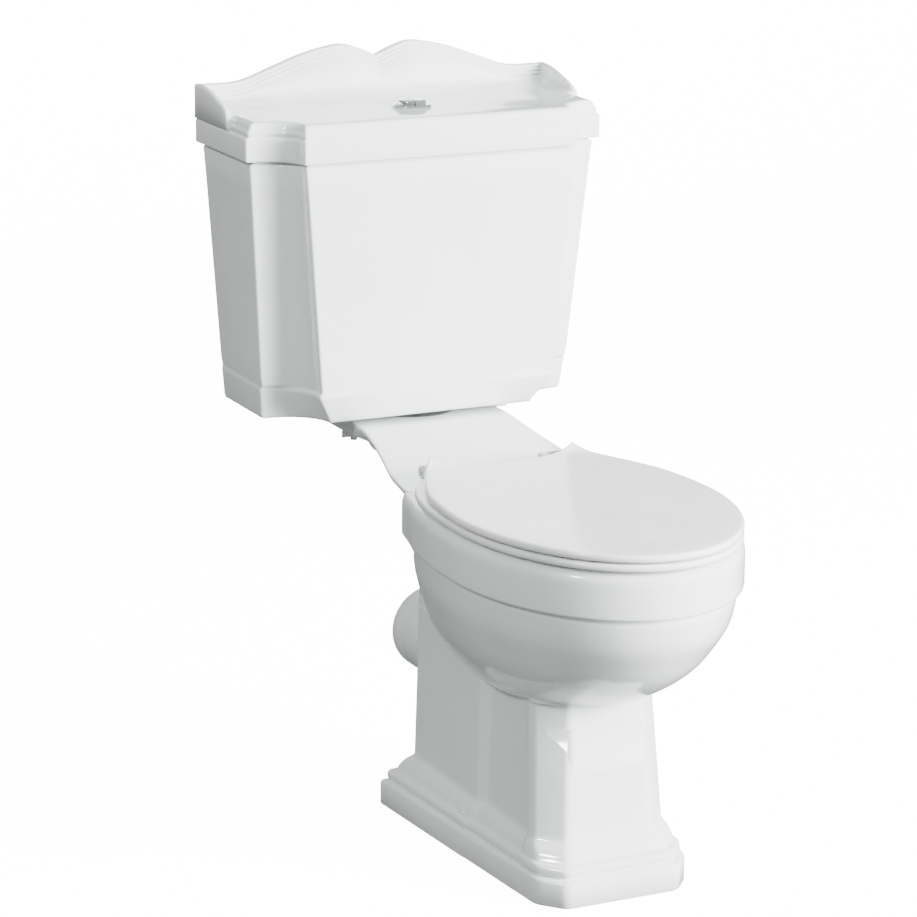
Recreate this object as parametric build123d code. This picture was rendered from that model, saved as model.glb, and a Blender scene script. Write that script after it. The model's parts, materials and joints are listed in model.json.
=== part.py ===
from build123d import *
import math
import os

# Close coupled toilet, millimetres.  X runs to the right, +Y towards the wall, +Z up.
# The origin is on the floor, on the centre line, halfway between the wall and the seat's front.
# Depths called d are measured forwards from the wall plane, so y = WALL_Y - d.

# ---- overall ----
OVERALL_DEPTH = 776.0
WALL_Y = OVERALL_DEPTH / 2
WALL_THICK = 10.0
GAP = 0.1                       # working clearance between pieces that fit each other

# ---- cistern body ----
BODY_TOP_Z = 735.0
BODY_BAND_Z = 468.0             # ledge above the lower band
BODY_BOTTOM_Z = 428.0
BODY_REAR_D = 6.0
BODY_TOP = (218.0, 150.0, 168.0, 196.0)      # half width, side arris d, front half width, front d
BODY_LEDGE = (197.5, 130.0, 147.0, 190.0)
BODY_BAND = (197.5, 126.0, 150.0, 192.0)
BODY_BOTTOM = (194.5, 122.0, 131.0, 174.0)
BODY_FLOOR_THICK = 12.0

# ---- cistern lid ----
LID_WIDTH = 450.0
LID_FRONT_D = 199.0
LID_ARRIS_D = 155.0
LID_FRONT_HALF = 171.0
LID_BEAD_Z = 763.0              # top of the plain fascia
LID_OVOLO_Z = 772.0             # top of the bead
LID_TOP_Z = 780.0
LID_ROOF_Z = 770.0              # ceiling of the hollow underneath
LID_WALL = 14.0
BEAD_INSET = 4.0
TOP_INSET = 9.0
UPSTAND_THICK = 24.0
UPSTAND_END_Z = 803.0
UPSTAND_PEAK_Z = 841.0
UPSTAND_DIP_Z = 826.0
UPSTAND_PEAK_X = 43.0
WING_REACH = 96.0               # how far each end of the upstand comes forward
WING_NOSE_Z = 788.0
WING_TOP_THICK = 7.0
WING_FOOT_THICK = 26.0
LID_RIB_DROP = 10.0             # locating ribs reach this far into the body

# ---- pan ----
PAN_TOP_Z = 399.0
STEP_Z = 349.0                  # bottom of the rim band
SHELF_TOP_Z = 422.0
SHELF_BOTTOM_Z = 404.0
SHELF_REAR_D = 52.0
SHELF_FRONT_D = 185.0
SHELF_HALF = 96.0
NECK_FOOT_D = 308.0             # where the sloping neck reaches the level of the deck
DECK_REAR_D = 366.0
DECK_HALF = 126.0
NECK_THICK = 20.0
PAN_FRONT_D = 774.0
PAN_HALF = 157.0
PAN_WIDEST_D = 556.0
PAN_REAR_D = 305.0
PAN_REAR_HALF = 78.0
FLUSH_D = 112.0                 # flush way, valve and button are on one vertical line
HORN_R = 30.0
DOUGHNUT_SEAT_R = 55.0
DOUGHNUT_SEAT_DEPTH = 14.0
DUCT_HALF = 32.0
DUCT_FLOOR_Z = 376.0
DUCT_ROOF_Z = 394.0
COUPLING_X = 72.5
COUPLING_HOLE_R = 6.5
SEAT_FIX_X = 75.0
SEAT_FIX_HOLE_R = 6.0
SPIGOT_R = 51.0
SPIGOT_BORE_R = 42.0
SPIGOT_Z = 168.0
SPIGOT_END_D = 172.0
TRAP_R = 34.0
TRAP_WALL = 8.0
TRAP_ROUTE = ((512.0, 300.0), (512.0, 98.0), (430.0, 98.0), (398.0, 222.0), (318.0, SPIGOT_Z),
              (250.0, SPIGOT_Z))

# hull of the bowl below the rim: height, centre d, half width, reach forwards, reach backwards
HULL = (
    (STEP_Z, 556.0, 151.0, 213.0, 290.0),
    (312.0, 549.0, 146.0, 211.0, 285.0),
    (288.0, 541.0, 138.0, 202.0, 275.0),
    (262.0, 529.0, 127.0, 190.0, 262.0),
    (241.0, 515.0, 114.0, 175.0, 238.0),
    (222.0, 505.0, 99.0, 149.0, 206.0),
    (206.0, 500.0, 81.0, 114.0, 150.0),
    (196.0, 500.0, 55.0, 75.0, 90.0),
)
# inside of the bowl, the same five numbers
CAVITY = (
    (PAN_TOP_Z - 24.0, 566.0, 134.0, 186.0, 168.0),
    (330.0, 560.0, 131.0, 184.0, 160.0),
    (285.0, 548.0, 119.0, 170.0, 140.0),
    (250.0, 532.0, 98.0, 142.0, 108.0),
    (226.0, 520.0, 70.0, 98.0, 70.0),
    (210.0, 512.0, 42.0, 52.0, 42.0),
)
BOWL_BACK_D = 397.0             # rearmost point of the inside of the bowl
RIM_OPENING = (574.0, 112.0, 160.0, 135.0)

# ---- pedestal and plinth ----
COLUMN_TOP_Z = 216.0
PANEL_HALF = 84.0
RECESS_HALF = 76.0
PANEL_FRONT_D = 476.0
COLUMN_REAR_D = 603.0
COLUMN_FRONT_D = 628.0
COLUMN_HALF = 50.0
PEDESTAL_WALL = 12.0
PLINTH_STEPS = (                # bottom z, top z, rear d, rear half, front d, front half
    (0.0, 30.0, 284.0, 117.0, 664.0, 92.0),
    (30.0, 44.0, 290.0, 110.0, 657.0, 85.0),
    (44.0, 62.0, 297.0, 98.0, 645.0, 70.0),
)
FLOOR_FIX_D = 468.0
FLOOR_FIX_X = 94.0
FLOOR_FIX_HOLE_R = 5.0

# ---- seat ----
HINGE_D = 342.0
HINGE_Z = 408.0
HINGE_PIN_R = 4.0
KNUCKLE_R = 7.6
RING_Z = (401.5, 409.8)
RING_REAR_D = 374.0
SEAT_LID_Z = (411.6, 420.0)
SEAT_TIP_Z = 429.0
SEAT_TIP_D = 355.0
RING_OPENING = (566.0, 96.0, 150.0, 118.0)
LID_REAR_SIDE = [(90.0, SEAT_TIP_D), (121.0, 413.0), (142.0, 467.0), (151.0, 520.0)]
LID_HOLLOW_SIDE = [(83.0, SEAT_TIP_D + 8), (114.0, 413.0), (135.0, 467.0), (144.0, 520.0)]
RING_REAR_SIDE = [(108.0, RING_REAR_D), (136.0, 420.0), (148.0, 465.0), (153.0, 515.0)]
POST_X = (67.0, 83.0)
RING_KNUCKLE_X = (56.0, 66.6)
LID_KNUCKLE_X = (83.4, 93.0)

# ---- button ----
BEZEL_R = 23.5
BEZEL_BARREL_R = 19.6
BUTTON_R = 17.2
BUTTON_TOP_Z = 789.0
BUTTON_TRAVEL = 8.0
BUTTON_SPLIT_X = -3.0
ROD_R = 2.5
ROD_X = (8.0, -10.5)            # full flush, half flush
ROD_END_Z = 597.0

# ---- flush valve ----
VALVE_TAIL_R = 28.0
VALVE_BORE_R = 22.0
VALVE_FLANGE_R = 41.0
VALVE_FLOOR_Z = BODY_BOTTOM_Z + BODY_FLOOR_THICK
VALVE_SEAT_Z = VALVE_FLOOR_Z + 10.0
TOWER_R = 37.0
TOWER_TOP_Z = 575.0
VALVE_HEAD_TOP_Z = 606.0
OVERFLOW_R = 12.0
OVERFLOW_TOP_Z = 690.0

# ---- fill valve ----
FILL_X = 150.0
FILL_D = 46.0
FILL_TAIL_R = 10.4              # the length that the supply connector screws on to
FILL_RISER_R = 10.0
FILL_THREAD_TOP_Z = 418.5
FILL_TAIL_END_Z = 394.0
FILL_HEAD_Z = (680.0, 712.0)
ARM_PIVOT_X = 128.0
ARM_PIVOT_Z = 700.0
FLOAT_X = 82.0


def at(x, d, z=0.0):
    """Point from its distance right of centre, forwards from the wall and up from the floor."""
    return Vector(x, WALL_Y - d, z)


def disc(x, d, z, radius):
    """Flat round face."""
    return Plane(at(x, d, z)) * Circle(radius)


def rod(x, d, z_low, z_high, radius):
    """Upright cylinder between two heights."""
    return extrude(disc(x, d, z_low, radius), z_high - z_low, dir=(0, 0, 1))


def tube(x, d, z_low, z_high, outer, inner):
    """Upright cylinder with a through bore."""
    return rod(x, d, z_low, z_high, outer) - rod(x, d, z_low - 1, z_high + 1, inner)


def block(x_pair, d_pair, z_pair):
    """Box from its limits in x, d and z."""
    size = (x_pair[1] - x_pair[0], d_pair[1] - d_pair[0], z_pair[1] - z_pair[0])
    middle = at(sum(x_pair) / 2, sum(d_pair) / 2, sum(z_pair) / 2)
    return Pos(middle) * Box(*size)


def cross_rod(x_pair, d, z, radius):
    """Cylinder lying along X."""
    length = x_pair[1] - x_pair[0]
    return Pos(at(sum(x_pair) / 2, d, z)) * Rot(0, 90, 0) * Cylinder(radius, length)


def one(shape):
    """The single solid inside a result, or the whole group when it has several."""
    solids = shape.solids()
    return solids[0] if len(solids) == 1 else Compound(children=list(solids))


def both_sides(make):
    """Group of a piece and its mirror image, made by a function of the side."""
    return Compound(children=[one(make(side)) for side in (-1, 1)])


# ---------------------------------------------------------------- outlines

def scooped_face(sizes, rear_d, z):
    """Plan face with a quarter-round scoop taken out of both front corners."""
    half, arris_d, front_half, front_d = sizes
    scoop_x = (half - front_half) * math.sin(math.radians(45))
    scoop_d = (front_d - arris_d) * math.sin(math.radians(45))
    right = ThreePointArc(at(half, arris_d, z), at(half - scoop_x, front_d - scoop_d, z),
                          at(front_half, front_d, z))
    left = ThreePointArc(at(-front_half, front_d, z), at(scoop_x - half, front_d - scoop_d, z),
                         at(-half, arris_d, z))
    edges = [
        Line(at(-half, rear_d, z), at(half, rear_d, z)),
        Line(at(half, rear_d, z), at(half, arris_d, z)),
        right,
        Line(at(front_half, front_d, z), at(-front_half, front_d, z)),
        left,
        Line(at(-half, arris_d, z), at(-half, rear_d, z)),
    ]
    return Face(Wire(edges))


def inset_sizes(sizes, amount):
    """The same scooped outline, smaller all round."""
    half, arris_d, front_half, front_d = sizes
    return (half - amount, arris_d - amount / 2, front_half - amount / 2, front_d - amount)


def oval_face(centre_d, half, ahead, behind, z, count=24):
    """Egg-shaped plan face: two half ellipses that share their width."""
    points = []
    for step in range(count):
        angle = 2 * math.pi * step / count
        reach = ahead if math.cos(angle) > 0 else behind
        points.append(at(half * math.sin(angle), centre_d + reach * math.cos(angle), z))
    return Face(Wire([Spline(*points, periodic=True)]))


def oval_loft(sections):
    """Smooth body through egg-shaped sections given from the top down."""
    return loft([oval_face(centre, half, ahead, behind, z)
                 for z, centre, half, ahead, behind in sections])


def pan_plan(inset, z):
    """Plan of the rim and the deck behind it, straight across the back."""
    half = PAN_HALF - inset
    front = PAN_FRONT_D - inset
    side = [(DECK_HALF, DECK_REAR_D), (136.0, 398.0), (147.5, 440.0), (155.5, 500.0)]
    side = [(x - inset, d) for x, d in side]
    reach = front - PAN_WIDEST_D
    nose = [(half * math.cos(math.radians(a)), PAN_WIDEST_D + reach * math.sin(math.radians(a)))
            for a in (0, 22, 42, 60, 76)]
    right = side + nose
    points = [at(x, d, z) for x, d in right] + [at(0, front, z)]
    points += [at(-x, d, z) for x, d in reversed(right)]
    return Face(Wire([Spline(*points), Line(points[-1], points[0])]))


def seat_plan(rear_side, inset, z):
    """Plan of the lid or ring: its own points at the back and one curve round the front."""
    front = [(153.5, 560.0), (148.0, 605.0), (136.0, 648.0), (117.0, 692.0), (88.0, 730.0),
             (49.0, 763.0)]
    side = rear_side + [(x - inset, d) for x, d in front]
    points = [at(x, d, z) for x, d in side] + [at(0, OVERALL_DEPTH - inset, z)]
    points += [at(-x, d, z) for x, d in reversed(side)]
    return Face(Wire([Spline(*points), Line(points[-1], points[0])]))


# ---------------------------------------------------------------- cistern

def cistern_body():
    """Hollow china tank, tapering down, open at the top."""
    upper = loft([scooped_face(BODY_LEDGE, BODY_REAR_D, BODY_BAND_Z),
                  scooped_face(BODY_TOP, BODY_REAR_D, BODY_TOP_Z)], ruled=True)
    band = loft([scooped_face(BODY_BOTTOM, BODY_REAR_D, BODY_BOTTOM_Z),
                 scooped_face(BODY_BAND, BODY_REAR_D, BODY_BAND_Z)], ruled=True)
    inside_rear = BODY_REAR_D + WALL_THICK
    hollow_top = loft([scooped_face(inset_sizes(BODY_LEDGE, WALL_THICK), inside_rear, BODY_BAND_Z),
                       scooped_face(inset_sizes(BODY_TOP, WALL_THICK), inside_rear,
                                    BODY_TOP_Z + 1)], ruled=True)
    hollow_low = loft([scooped_face(inset_sizes(BODY_BOTTOM, WALL_THICK), inside_rear,
                                    VALVE_FLOOR_Z),
                       scooped_face(inset_sizes(BODY_LEDGE, WALL_THICK), inside_rear,
                                    BODY_BAND_Z)], ruled=True)
    body = upper + band - hollow_top - hollow_low
    low = BODY_BOTTOM_Z - 1
    high = VALVE_FLOOR_Z + 1
    body -= rod(0, FLUSH_D, low, high, VALVE_TAIL_R + 1)
    body -= rod(FILL_X, FILL_D, low, high, FILL_RISER_R + 0.6)
    for side in (-1, 1):
        body -= rod(side * COUPLING_X, FLUSH_D, low, high, COUPLING_HOLE_R)
    return one(body)


def upstand():
    """Back of the lid: two swells with a dip between them, and level ends."""
    half = LID_WIDTH / 2
    swell = [(182.0, UPSTAND_END_Z), (150.0, 811.5), (112.0, 826.0), (75.0, 837.0),
             (UPSTAND_PEAK_X, UPSTAND_PEAK_Z), (20.0, 835.0), (0.0, UPSTAND_DIP_Z)]
    right = [at(x, 0, z) for x, z in swell]
    left = [at(-x, 0, z) for x, z in reversed(swell)]
    edges = [
        Line(at(half, 0, LID_BEAD_Z), at(half, 0, UPSTAND_END_Z)),
        Line(at(half, 0, UPSTAND_END_Z), right[0]),
        Spline(*right),
        Spline(*left),
        Line(left[-1], at(-half, 0, UPSTAND_END_Z)),
        Line(at(-half, 0, UPSTAND_END_Z), at(-half, 0, LID_BEAD_Z)),
        Line(at(-half, 0, LID_BEAD_Z), at(half, 0, LID_BEAD_Z)),
    ]
    return extrude(Face(Wire(edges)), UPSTAND_THICK, dir=(0, -1, 0))


def wing(side):
    """End of the upstand that comes forwards along the lid's side, thicker at its foot."""
    outer = side * LID_WIDTH / 2
    profile = [(2.0, LID_OVOLO_Z), (2.0, UPSTAND_END_Z), (30.0, UPSTAND_END_Z - 1),
               (WING_REACH - 10, WING_NOSE_Z), (WING_REACH, LID_TOP_Z - 6), (WING_REACH, LID_OVOLO_Z)]
    face = make_face(Polyline(*[at(outer, d, z) for d, z in profile], close=True))
    plate = extrude(face, WING_FOOT_THICK, dir=(-side, 0, 0))
    inner = [(outer - side * WING_TOP_THICK, UPSTAND_END_Z + 5),
             (outer - side * WING_TOP_THICK, WING_NOSE_Z + 8),
             (outer - side * WING_FOOT_THICK, LID_TOP_Z),
             (outer - side * (WING_FOOT_THICK + 5), LID_TOP_Z),
             (outer - side * (WING_FOOT_THICK + 5), UPSTAND_END_Z + 5)]
    slope = make_face(Polyline(*[at(x, -5, z) for x, z in inner], close=True))
    return plate - extrude(slope, WING_REACH + 20, dir=(0, -1, 0))


def cistern_lid():
    """China lid with a moulded edge, a hollow underside and a shaped upstand."""
    sizes = (LID_WIDTH / 2, LID_ARRIS_D, LID_FRONT_HALF, LID_FRONT_D)
    layers = ((BODY_TOP_Z, LID_BEAD_Z, 0.0), (LID_BEAD_Z, LID_OVOLO_Z, BEAD_INSET),
              (LID_OVOLO_Z, LID_TOP_Z, TOP_INSET))
    lid = None
    for low, high, inset in layers:
        layer = extrude(scooped_face(inset_sizes(sizes, inset), 0.0, low), high - low,
                        dir=(0, 0, 1))
        lid = layer if lid is None else lid + layer
    lid += upstand()
    lid += wing(-1)
    lid += wing(1)
    hollow = scooped_face(inset_sizes(sizes, LID_WALL), LID_WALL + 2, BODY_TOP_Z - 1)
    lid -= extrude(hollow, LID_ROOF_Z - BODY_TOP_Z + 1, dir=(0, 0, 1))
    rib_z = (BODY_TOP_Z - LID_RIB_DROP, LID_ROOF_Z + 1)
    for side in (-1, 1):
        rib_x = sorted((side * 196.0, side * 203.0))
        lid += block(rib_x, (45.0, 115.0), rib_z)
    lid -= rod(0, FLUSH_D, LID_ROOF_Z - 1, LID_TOP_Z + 1, BEZEL_BARREL_R + 0.6)
    return one(lid)


# ---------------------------------------------------------------- pan

def shelf_and_neck():
    """Shelf that carries the cistern, with the sloping neck down to the deck."""
    far_d = DECK_REAR_D + 14
    side = [(SHELF_REAR_D, SHELF_TOP_Z), (SHELF_FRONT_D, SHELF_TOP_Z),
            (NECK_FOOT_D, PAN_TOP_Z), (far_d, PAN_TOP_Z),
            (far_d, PAN_TOP_Z - NECK_THICK), (NECK_FOOT_D, PAN_TOP_Z - NECK_THICK),
            (SHELF_FRONT_D - 5, SHELF_BOTTOM_Z), (SHELF_REAR_D, SHELF_BOTTOM_Z)]
    half = 160.0
    profile = make_face(Polyline(*[at(-half, d, z) for d, z in side], close=True))
    slab = extrude(profile, 2 * half, dir=(1, 0, 0))
    plan = [(SHELF_HALF, SHELF_REAR_D), (SHELF_HALF, SHELF_FRONT_D), (116.0, NECK_FOOT_D),
            (DECK_HALF, DECK_REAR_D), (DECK_HALF, far_d)]
    outline = [at(x, d, STEP_Z) for x, d in plan]
    outline += [at(-x, d, STEP_Z) for x, d in reversed(plan)]
    column = extrude(make_face(Polyline(*outline, close=True)), 100, dir=(0, 0, 1))
    casing = block((-DUCT_HALF - 10, DUCT_HALF + 10), (SHELF_REAR_D + 14, PAN_REAR_D + 20),
                   (DUCT_FLOOR_Z - 10, SHELF_BOTTOM_Z + 2))
    return (slab & column) + casing


def rear_body():
    """Upright back of the pan between the deck and the plinth."""
    return block((-PAN_REAR_HALF, PAN_REAR_HALF), (PAN_REAR_D, PAN_REAR_D + 150),
                 (60.0, PAN_TOP_Z - 2))


def pedestal():
    """Foot with a wide rear panel, a recessed middle and a square front column."""
    top = COLUMN_TOP_Z
    panel = block((-PANEL_HALF, PANEL_HALF), (PAN_REAR_D, PANEL_FRONT_D), (50.0, top))
    middle = block((-RECESS_HALF, RECESS_HALF), (PANEL_FRONT_D - 5, COLUMN_REAR_D), (50.0, top))
    corner = [at(RECESS_HALF + 5, COLUMN_REAR_D - 40, 50), at(RECESS_HALF + 5, COLUMN_REAR_D, 50),
              at(COLUMN_HALF, COLUMN_FRONT_D, 50), at(-COLUMN_HALF, COLUMN_FRONT_D, 50),
              at(-RECESS_HALF - 5, COLUMN_REAR_D, 50), at(-RECESS_HALF - 5, COLUMN_REAR_D - 40, 50)]
    column = extrude(make_face(Polyline(*corner, close=True)), top + 6 - 50, dir=(0, 0, 1))
    return panel + middle + column


def plinth():
    """Stepped base moulding round the foot."""
    result = None
    for low, high, rear_d, rear_half, front_d, front_half in PLINTH_STEPS:
        corner = front_half - 22.0
        outline = [(rear_half, rear_d), (front_half + 4, front_d - 30), (corner, front_d)]
        points = [at(x, d, low) for x, d in outline]
        points += [at(-x, d, low) for x, d in reversed(outline)]
        step = extrude(make_face(Polyline(*points, close=True)), high - low, dir=(0, 0, 1))
        result = step if result is None else result + step
    return result


def trap(radius):
    """Round bar with ball corners: down from the bowl, back, up over the weir and out."""
    points = [at(0, d, z) for d, z in TRAP_ROUTE]
    bar = None
    for start, end in zip(points, points[1:]):
        run = end - start
        leg = Plane(origin=(start + end) * 0.5, z_dir=run) * Cylinder(radius, run.length)
        bar = leg if bar is None else bar + leg
    for corner in points[1:-1]:
        bar += Pos(corner) * Sphere(radius)
    return bar


def foot_hollow():
    """Space under the pan, open at the floor, clear of the trap."""
    wall = PEDESTAL_WALL
    rear = block((-PAN_REAR_HALF + wall, PAN_REAR_HALF - wall),
                 (PAN_REAR_D + wall, COLUMN_REAR_D - 20), (-1.0, 186.0))
    nose = [at(RECESS_HALF - wall, COLUMN_REAR_D - 40, -1), at(COLUMN_HALF - 8, COLUMN_FRONT_D - wall, -1),
            at(-COLUMN_HALF + 8, COLUMN_FRONT_D - wall, -1), at(-RECESS_HALF + wall, COLUMN_REAR_D - 40, -1)]
    front = extrude(make_face(Polyline(*nose, close=True)), 187, dir=(0, 0, 1))
    back = block((-PAN_REAR_HALF + wall, PAN_REAR_HALF - wall),
                 (PAN_REAR_D + wall, BOWL_BACK_D - wall), (185.0, 356.0))
    spigot_wall = Pos(at(0, 300, SPIGOT_Z)) * Rot(90, 0, 0) * Cylinder(SPIGOT_R, 90)
    return rear + front + back - trap(TRAP_R + TRAP_WALL) - spigot_wall


def pan():
    """Whole china pan in one piece."""
    rim = extrude(pan_plan(0.0, STEP_Z), PAN_TOP_Z - STEP_Z, dir=(0, 0, 1))
    hull = oval_loft(HULL)
    hull -= block((-200.0, 200.0), (100.0, PAN_REAR_D), (150.0, 400.0))
    spigot = Pos(at(0, (SPIGOT_END_D + PAN_REAR_D + 20) / 2, SPIGOT_Z)) * Rot(90, 0, 0)
    spigot *= Cylinder(SPIGOT_R, PAN_REAR_D + 20 - SPIGOT_END_D)
    body = rim + hull + rear_body() + pedestal() + plinth() + shelf_and_neck() + spigot
    body -= foot_hollow()
    body -= oval_loft(CAVITY)
    opening = oval_face(*RIM_OPENING, PAN_TOP_Z - 26.0)
    body -= extrude(opening, 30.0, dir=(0, 0, 1))
    body -= trap(TRAP_R)
    bore = Pos(at(0, (SPIGOT_END_D - 1 + 250) / 2, SPIGOT_Z)) * Rot(90, 0, 0)
    body -= bore * Cylinder(SPIGOT_BORE_R, 251 - SPIGOT_END_D)
    body -= rod(0, FLUSH_D, SHELF_TOP_Z - DOUGHNUT_SEAT_DEPTH, SHELF_TOP_Z + 1, DOUGHNUT_SEAT_R)
    body -= rod(0, FLUSH_D, DUCT_FLOOR_Z, SHELF_TOP_Z + 1, HORN_R)
    body -= block((-DUCT_HALF + 2, DUCT_HALF - 2), (FLUSH_D, 425.0), (DUCT_FLOOR_Z, DUCT_ROOF_Z))
    for side in (-1, 1):
        body -= rod(side * COUPLING_X, FLUSH_D, SHELF_BOTTOM_Z - 1, SHELF_TOP_Z + 1, COUPLING_HOLE_R)
        body -= rod(side * SEAT_FIX_X, HINGE_D, 330.0, PAN_TOP_Z + 1, SEAT_FIX_HOLE_R)
        body -= rod(side * SEAT_FIX_X, HINGE_D, 330.0, 378.0, 16.0)
        body -= rod(side * FLOOR_FIX_X, FLOOR_FIX_D, -1.0, 80.0, FLOOR_FIX_HOLE_R)
        body -= Pos(at(side * (FLOOR_FIX_X + 4), FLOOR_FIX_D, 64)) * Sphere(17.0)
    return one(body)


# ---------------------------------------------------------------- seat

def knuckles(x_pair, web_d, web_z):
    """Round hinge ears on both sides with the webs that join them to a panel."""
    group = None
    for side in (-1, 1):
        x_range = sorted((side * x_pair[0], side * x_pair[1]))
        ear = cross_rod(x_range, HINGE_D, HINGE_Z, KNUCKLE_R)
        ear += block(x_range, (HINGE_D, web_d), web_z)
        group = ear if group is None else group + ear
    return group


def knuckle_bores():
    """Bores for the hinge pins."""
    return cross_rod((-100.0, -50.0), HINGE_D, HINGE_Z, HINGE_PIN_R) + \
        cross_rod((50.0, 100.0), HINGE_D, HINGE_Z, HINGE_PIN_R)


def seat_ring():
    """Seat ring with its opening and the inner hinge ears."""
    low, high = RING_Z
    ring = extrude(seat_plan(RING_REAR_SIDE, 0.5, low), high - low, dir=(0, 0, 1))
    ring -= extrude(oval_face(*RING_OPENING, low - 1), high - low + 2, dir=(0, 0, 1))
    ring += knuckles(RING_KNUCKLE_X, RING_REAR_D + 6, (HINGE_Z - 6, high))
    return one(ring - knuckle_bores())


def seat_lid():
    """Lid with two raised points at its back corners and the outer hinge ears."""
    low, high = SEAT_LID_Z
    lid = extrude(seat_plan(LID_REAR_SIDE, 0.0, low), high - low, dir=(0, 0, 1))
    inner = extrude(seat_plan(LID_HOLLOW_SIDE, 7.0, low - 1), high - low - 3, dir=(0, 0, 1))
    lid -= inner
    for side in (-1, 1):
        tip = [(90.0, SEAT_TIP_D, SEAT_TIP_Z), (90.0, SEAT_TIP_D, high - 1),
               (108.0, SEAT_TIP_D + 30, high - 1), (74.0, SEAT_TIP_D, high - 1)]
        apex, foot, front, inner_foot = [at(side * x, d, z) for x, d, z in tip]
        base = make_face(Polyline(foot, front, inner_foot, close=True))
        lid += loft([base, Vertex(apex.X, apex.Y, apex.Z)])
    lid += knuckles(LID_KNUCKLE_X, SEAT_TIP_D + 9, (HINGE_Z + 1, high - 2))
    return one(lid - knuckle_bores())


def hinge_post(side):
    """Chrome post that holds one hinge pin, on a round foot."""
    x_range = sorted((side * POST_X[0], side * POST_X[1]))
    post = rod(side * SEAT_FIX_X, HINGE_D, PAN_TOP_Z + 0.8, PAN_TOP_Z + 3.0, 8.0)
    post += block(x_range, (HINGE_D - 7, HINGE_D + 7), (PAN_TOP_Z + 0.8, HINGE_Z))
    post += cross_rod(x_range, HINGE_D, HINGE_Z, KNUCKLE_R)
    return one(post - cross_rod((side * SEAT_FIX_X - 20, side * SEAT_FIX_X + 20), HINGE_D, HINGE_Z,
                                HINGE_PIN_R - 0.05) -
               rod(side * SEAT_FIX_X, HINGE_D, PAN_TOP_Z, PAN_TOP_Z + 5, 3.0))


def hinge_pins():
    """One short pin through each post and its neighbouring ears."""
    return both_sides(lambda side: cross_rod(sorted((side * 55.0, side * 94.0)), HINGE_D, HINGE_Z,
                                             HINGE_PIN_R - 0.05))


def hinge_gaskets():
    """Thin soft washers between the posts and the china."""
    return both_sides(lambda side: tube(side * SEAT_FIX_X, HINGE_D, PAN_TOP_Z, PAN_TOP_Z + 0.8,
                                        13.0, 6.0))


def seat_studs():
    """Threaded studs from the posts down through the china."""
    return both_sides(lambda side: rod(side * SEAT_FIX_X, HINGE_D, 346.0, PAN_TOP_Z + 3.0, 2.95))


def seat_washers():
    """Cone washers under the china."""
    return both_sides(lambda side: tube(side * SEAT_FIX_X, HINGE_D, 374.0, 378.0, 12.0, 3.05))


def wing_nut(x, d, top_z, reach, bore):
    """Round nut with two flat wings."""
    nut = rod(x, d, top_z - 9, top_z, 8.0)
    nut += block((x - reach, x + reach), (d - 1.5, d + 1.5), (top_z - 9, top_z - 1))
    return nut - rod(x, d, top_z - 10, top_z + 1, bore)


def seat_nuts():
    """Wing nuts that clamp the hinge posts."""
    return both_sides(lambda side: wing_nut(side * SEAT_FIX_X, HINGE_D, 374.0, 13.0, 3.05))


def ring_buffers():
    """Four soft feet under the seat ring."""
    feet = [tube(x, d, PAN_TOP_Z, RING_Z[0], 6.0, 1.0)
            for x, d in ((-134.0, 470.0), (134.0, 470.0), (-108.0, 672.0), (108.0, 672.0))]
    return Compound(children=[one(foot) for foot in feet])


def lid_buffers():
    """Four small pads under the lid, resting on the ring."""
    pads = [tube(x, d, RING_Z[1], SEAT_LID_Z[1] - 3.0 - 1.0, 5.0, 1.0)
            for x, d in ((-125.0, 480.0), (125.0, 480.0), (-96.0, 684.0), (96.0, 684.0))]
    return Compound(children=[one(pad) for pad in pads])


# ---------------------------------------------------------------- push button

def button_bezel():
    """Chrome cup that holds both buttons, with holes in its floor for the rods."""
    bezel = rod(0, FLUSH_D, LID_TOP_Z, LID_TOP_Z + 3, BEZEL_R)
    bezel += rod(0, FLUSH_D, LID_TOP_Z - 32, LID_TOP_Z + 1, BEZEL_BARREL_R)
    bezel -= rod(0, FLUSH_D, LID_TOP_Z - 29, LID_TOP_Z + 4, BUTTON_R + 0.5)
    for x in ROD_X:
        bezel -= rod(x, FLUSH_D, LID_TOP_Z - 33, LID_TOP_Z - 28, ROD_R + 0.5)
    return one(bezel)


def button_nut():
    """Plastic ring nut under the lid."""
    return one(tube(0, FLUSH_D, LID_ROOF_Z - 12, LID_ROOF_Z, 29.0, BEZEL_BARREL_R + GAP))


def button_half(side):
    """One half of the split button: +1 is the larger, full flush half."""
    low = LID_TOP_Z - 4
    button = rod(0, FLUSH_D, low, BUTTON_TOP_Z, BUTTON_R)
    edge = BUTTON_SPLIT_X + side * 0.5
    cut_x = (-30.0, edge) if side > 0 else (edge, 30.0)
    return one(button - block(cut_x, (FLUSH_D - 30, FLUSH_D + 30), (low - 1, BUTTON_TOP_Z + 1)))


def push_rod(x):
    """Rod from a button down to the valve."""
    return one(rod(x, FLUSH_D, ROD_END_Z, LID_TOP_Z - 4, ROD_R))


def button_spring(x):
    """Envelope of one return spring round its rod."""
    return one(tube(x, FLUSH_D, LID_TOP_Z - 29, LID_TOP_Z - 4, 5.0, 3.6))


# ---------------------------------------------------------------- flush valve

def valve_base():
    """Threaded outlet with the flange that sits on the cistern floor."""
    base = rod(0, FLUSH_D, VALVE_FLOOR_Z + 3, VALVE_SEAT_Z, VALVE_FLANGE_R)
    base += rod(0, FLUSH_D, 402.0, VALVE_FLOOR_Z + 4, VALVE_TAIL_R)
    return one(base - rod(0, FLUSH_D, 400.0, VALVE_SEAT_Z + 1, VALVE_BORE_R))


def valve_washer():
    """Seal between the valve flange and the cistern floor."""
    return one(tube(0, FLUSH_D, VALVE_FLOOR_Z, VALVE_FLOOR_Z + 3, VALVE_FLANGE_R, VALVE_TAIL_R + GAP))


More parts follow.
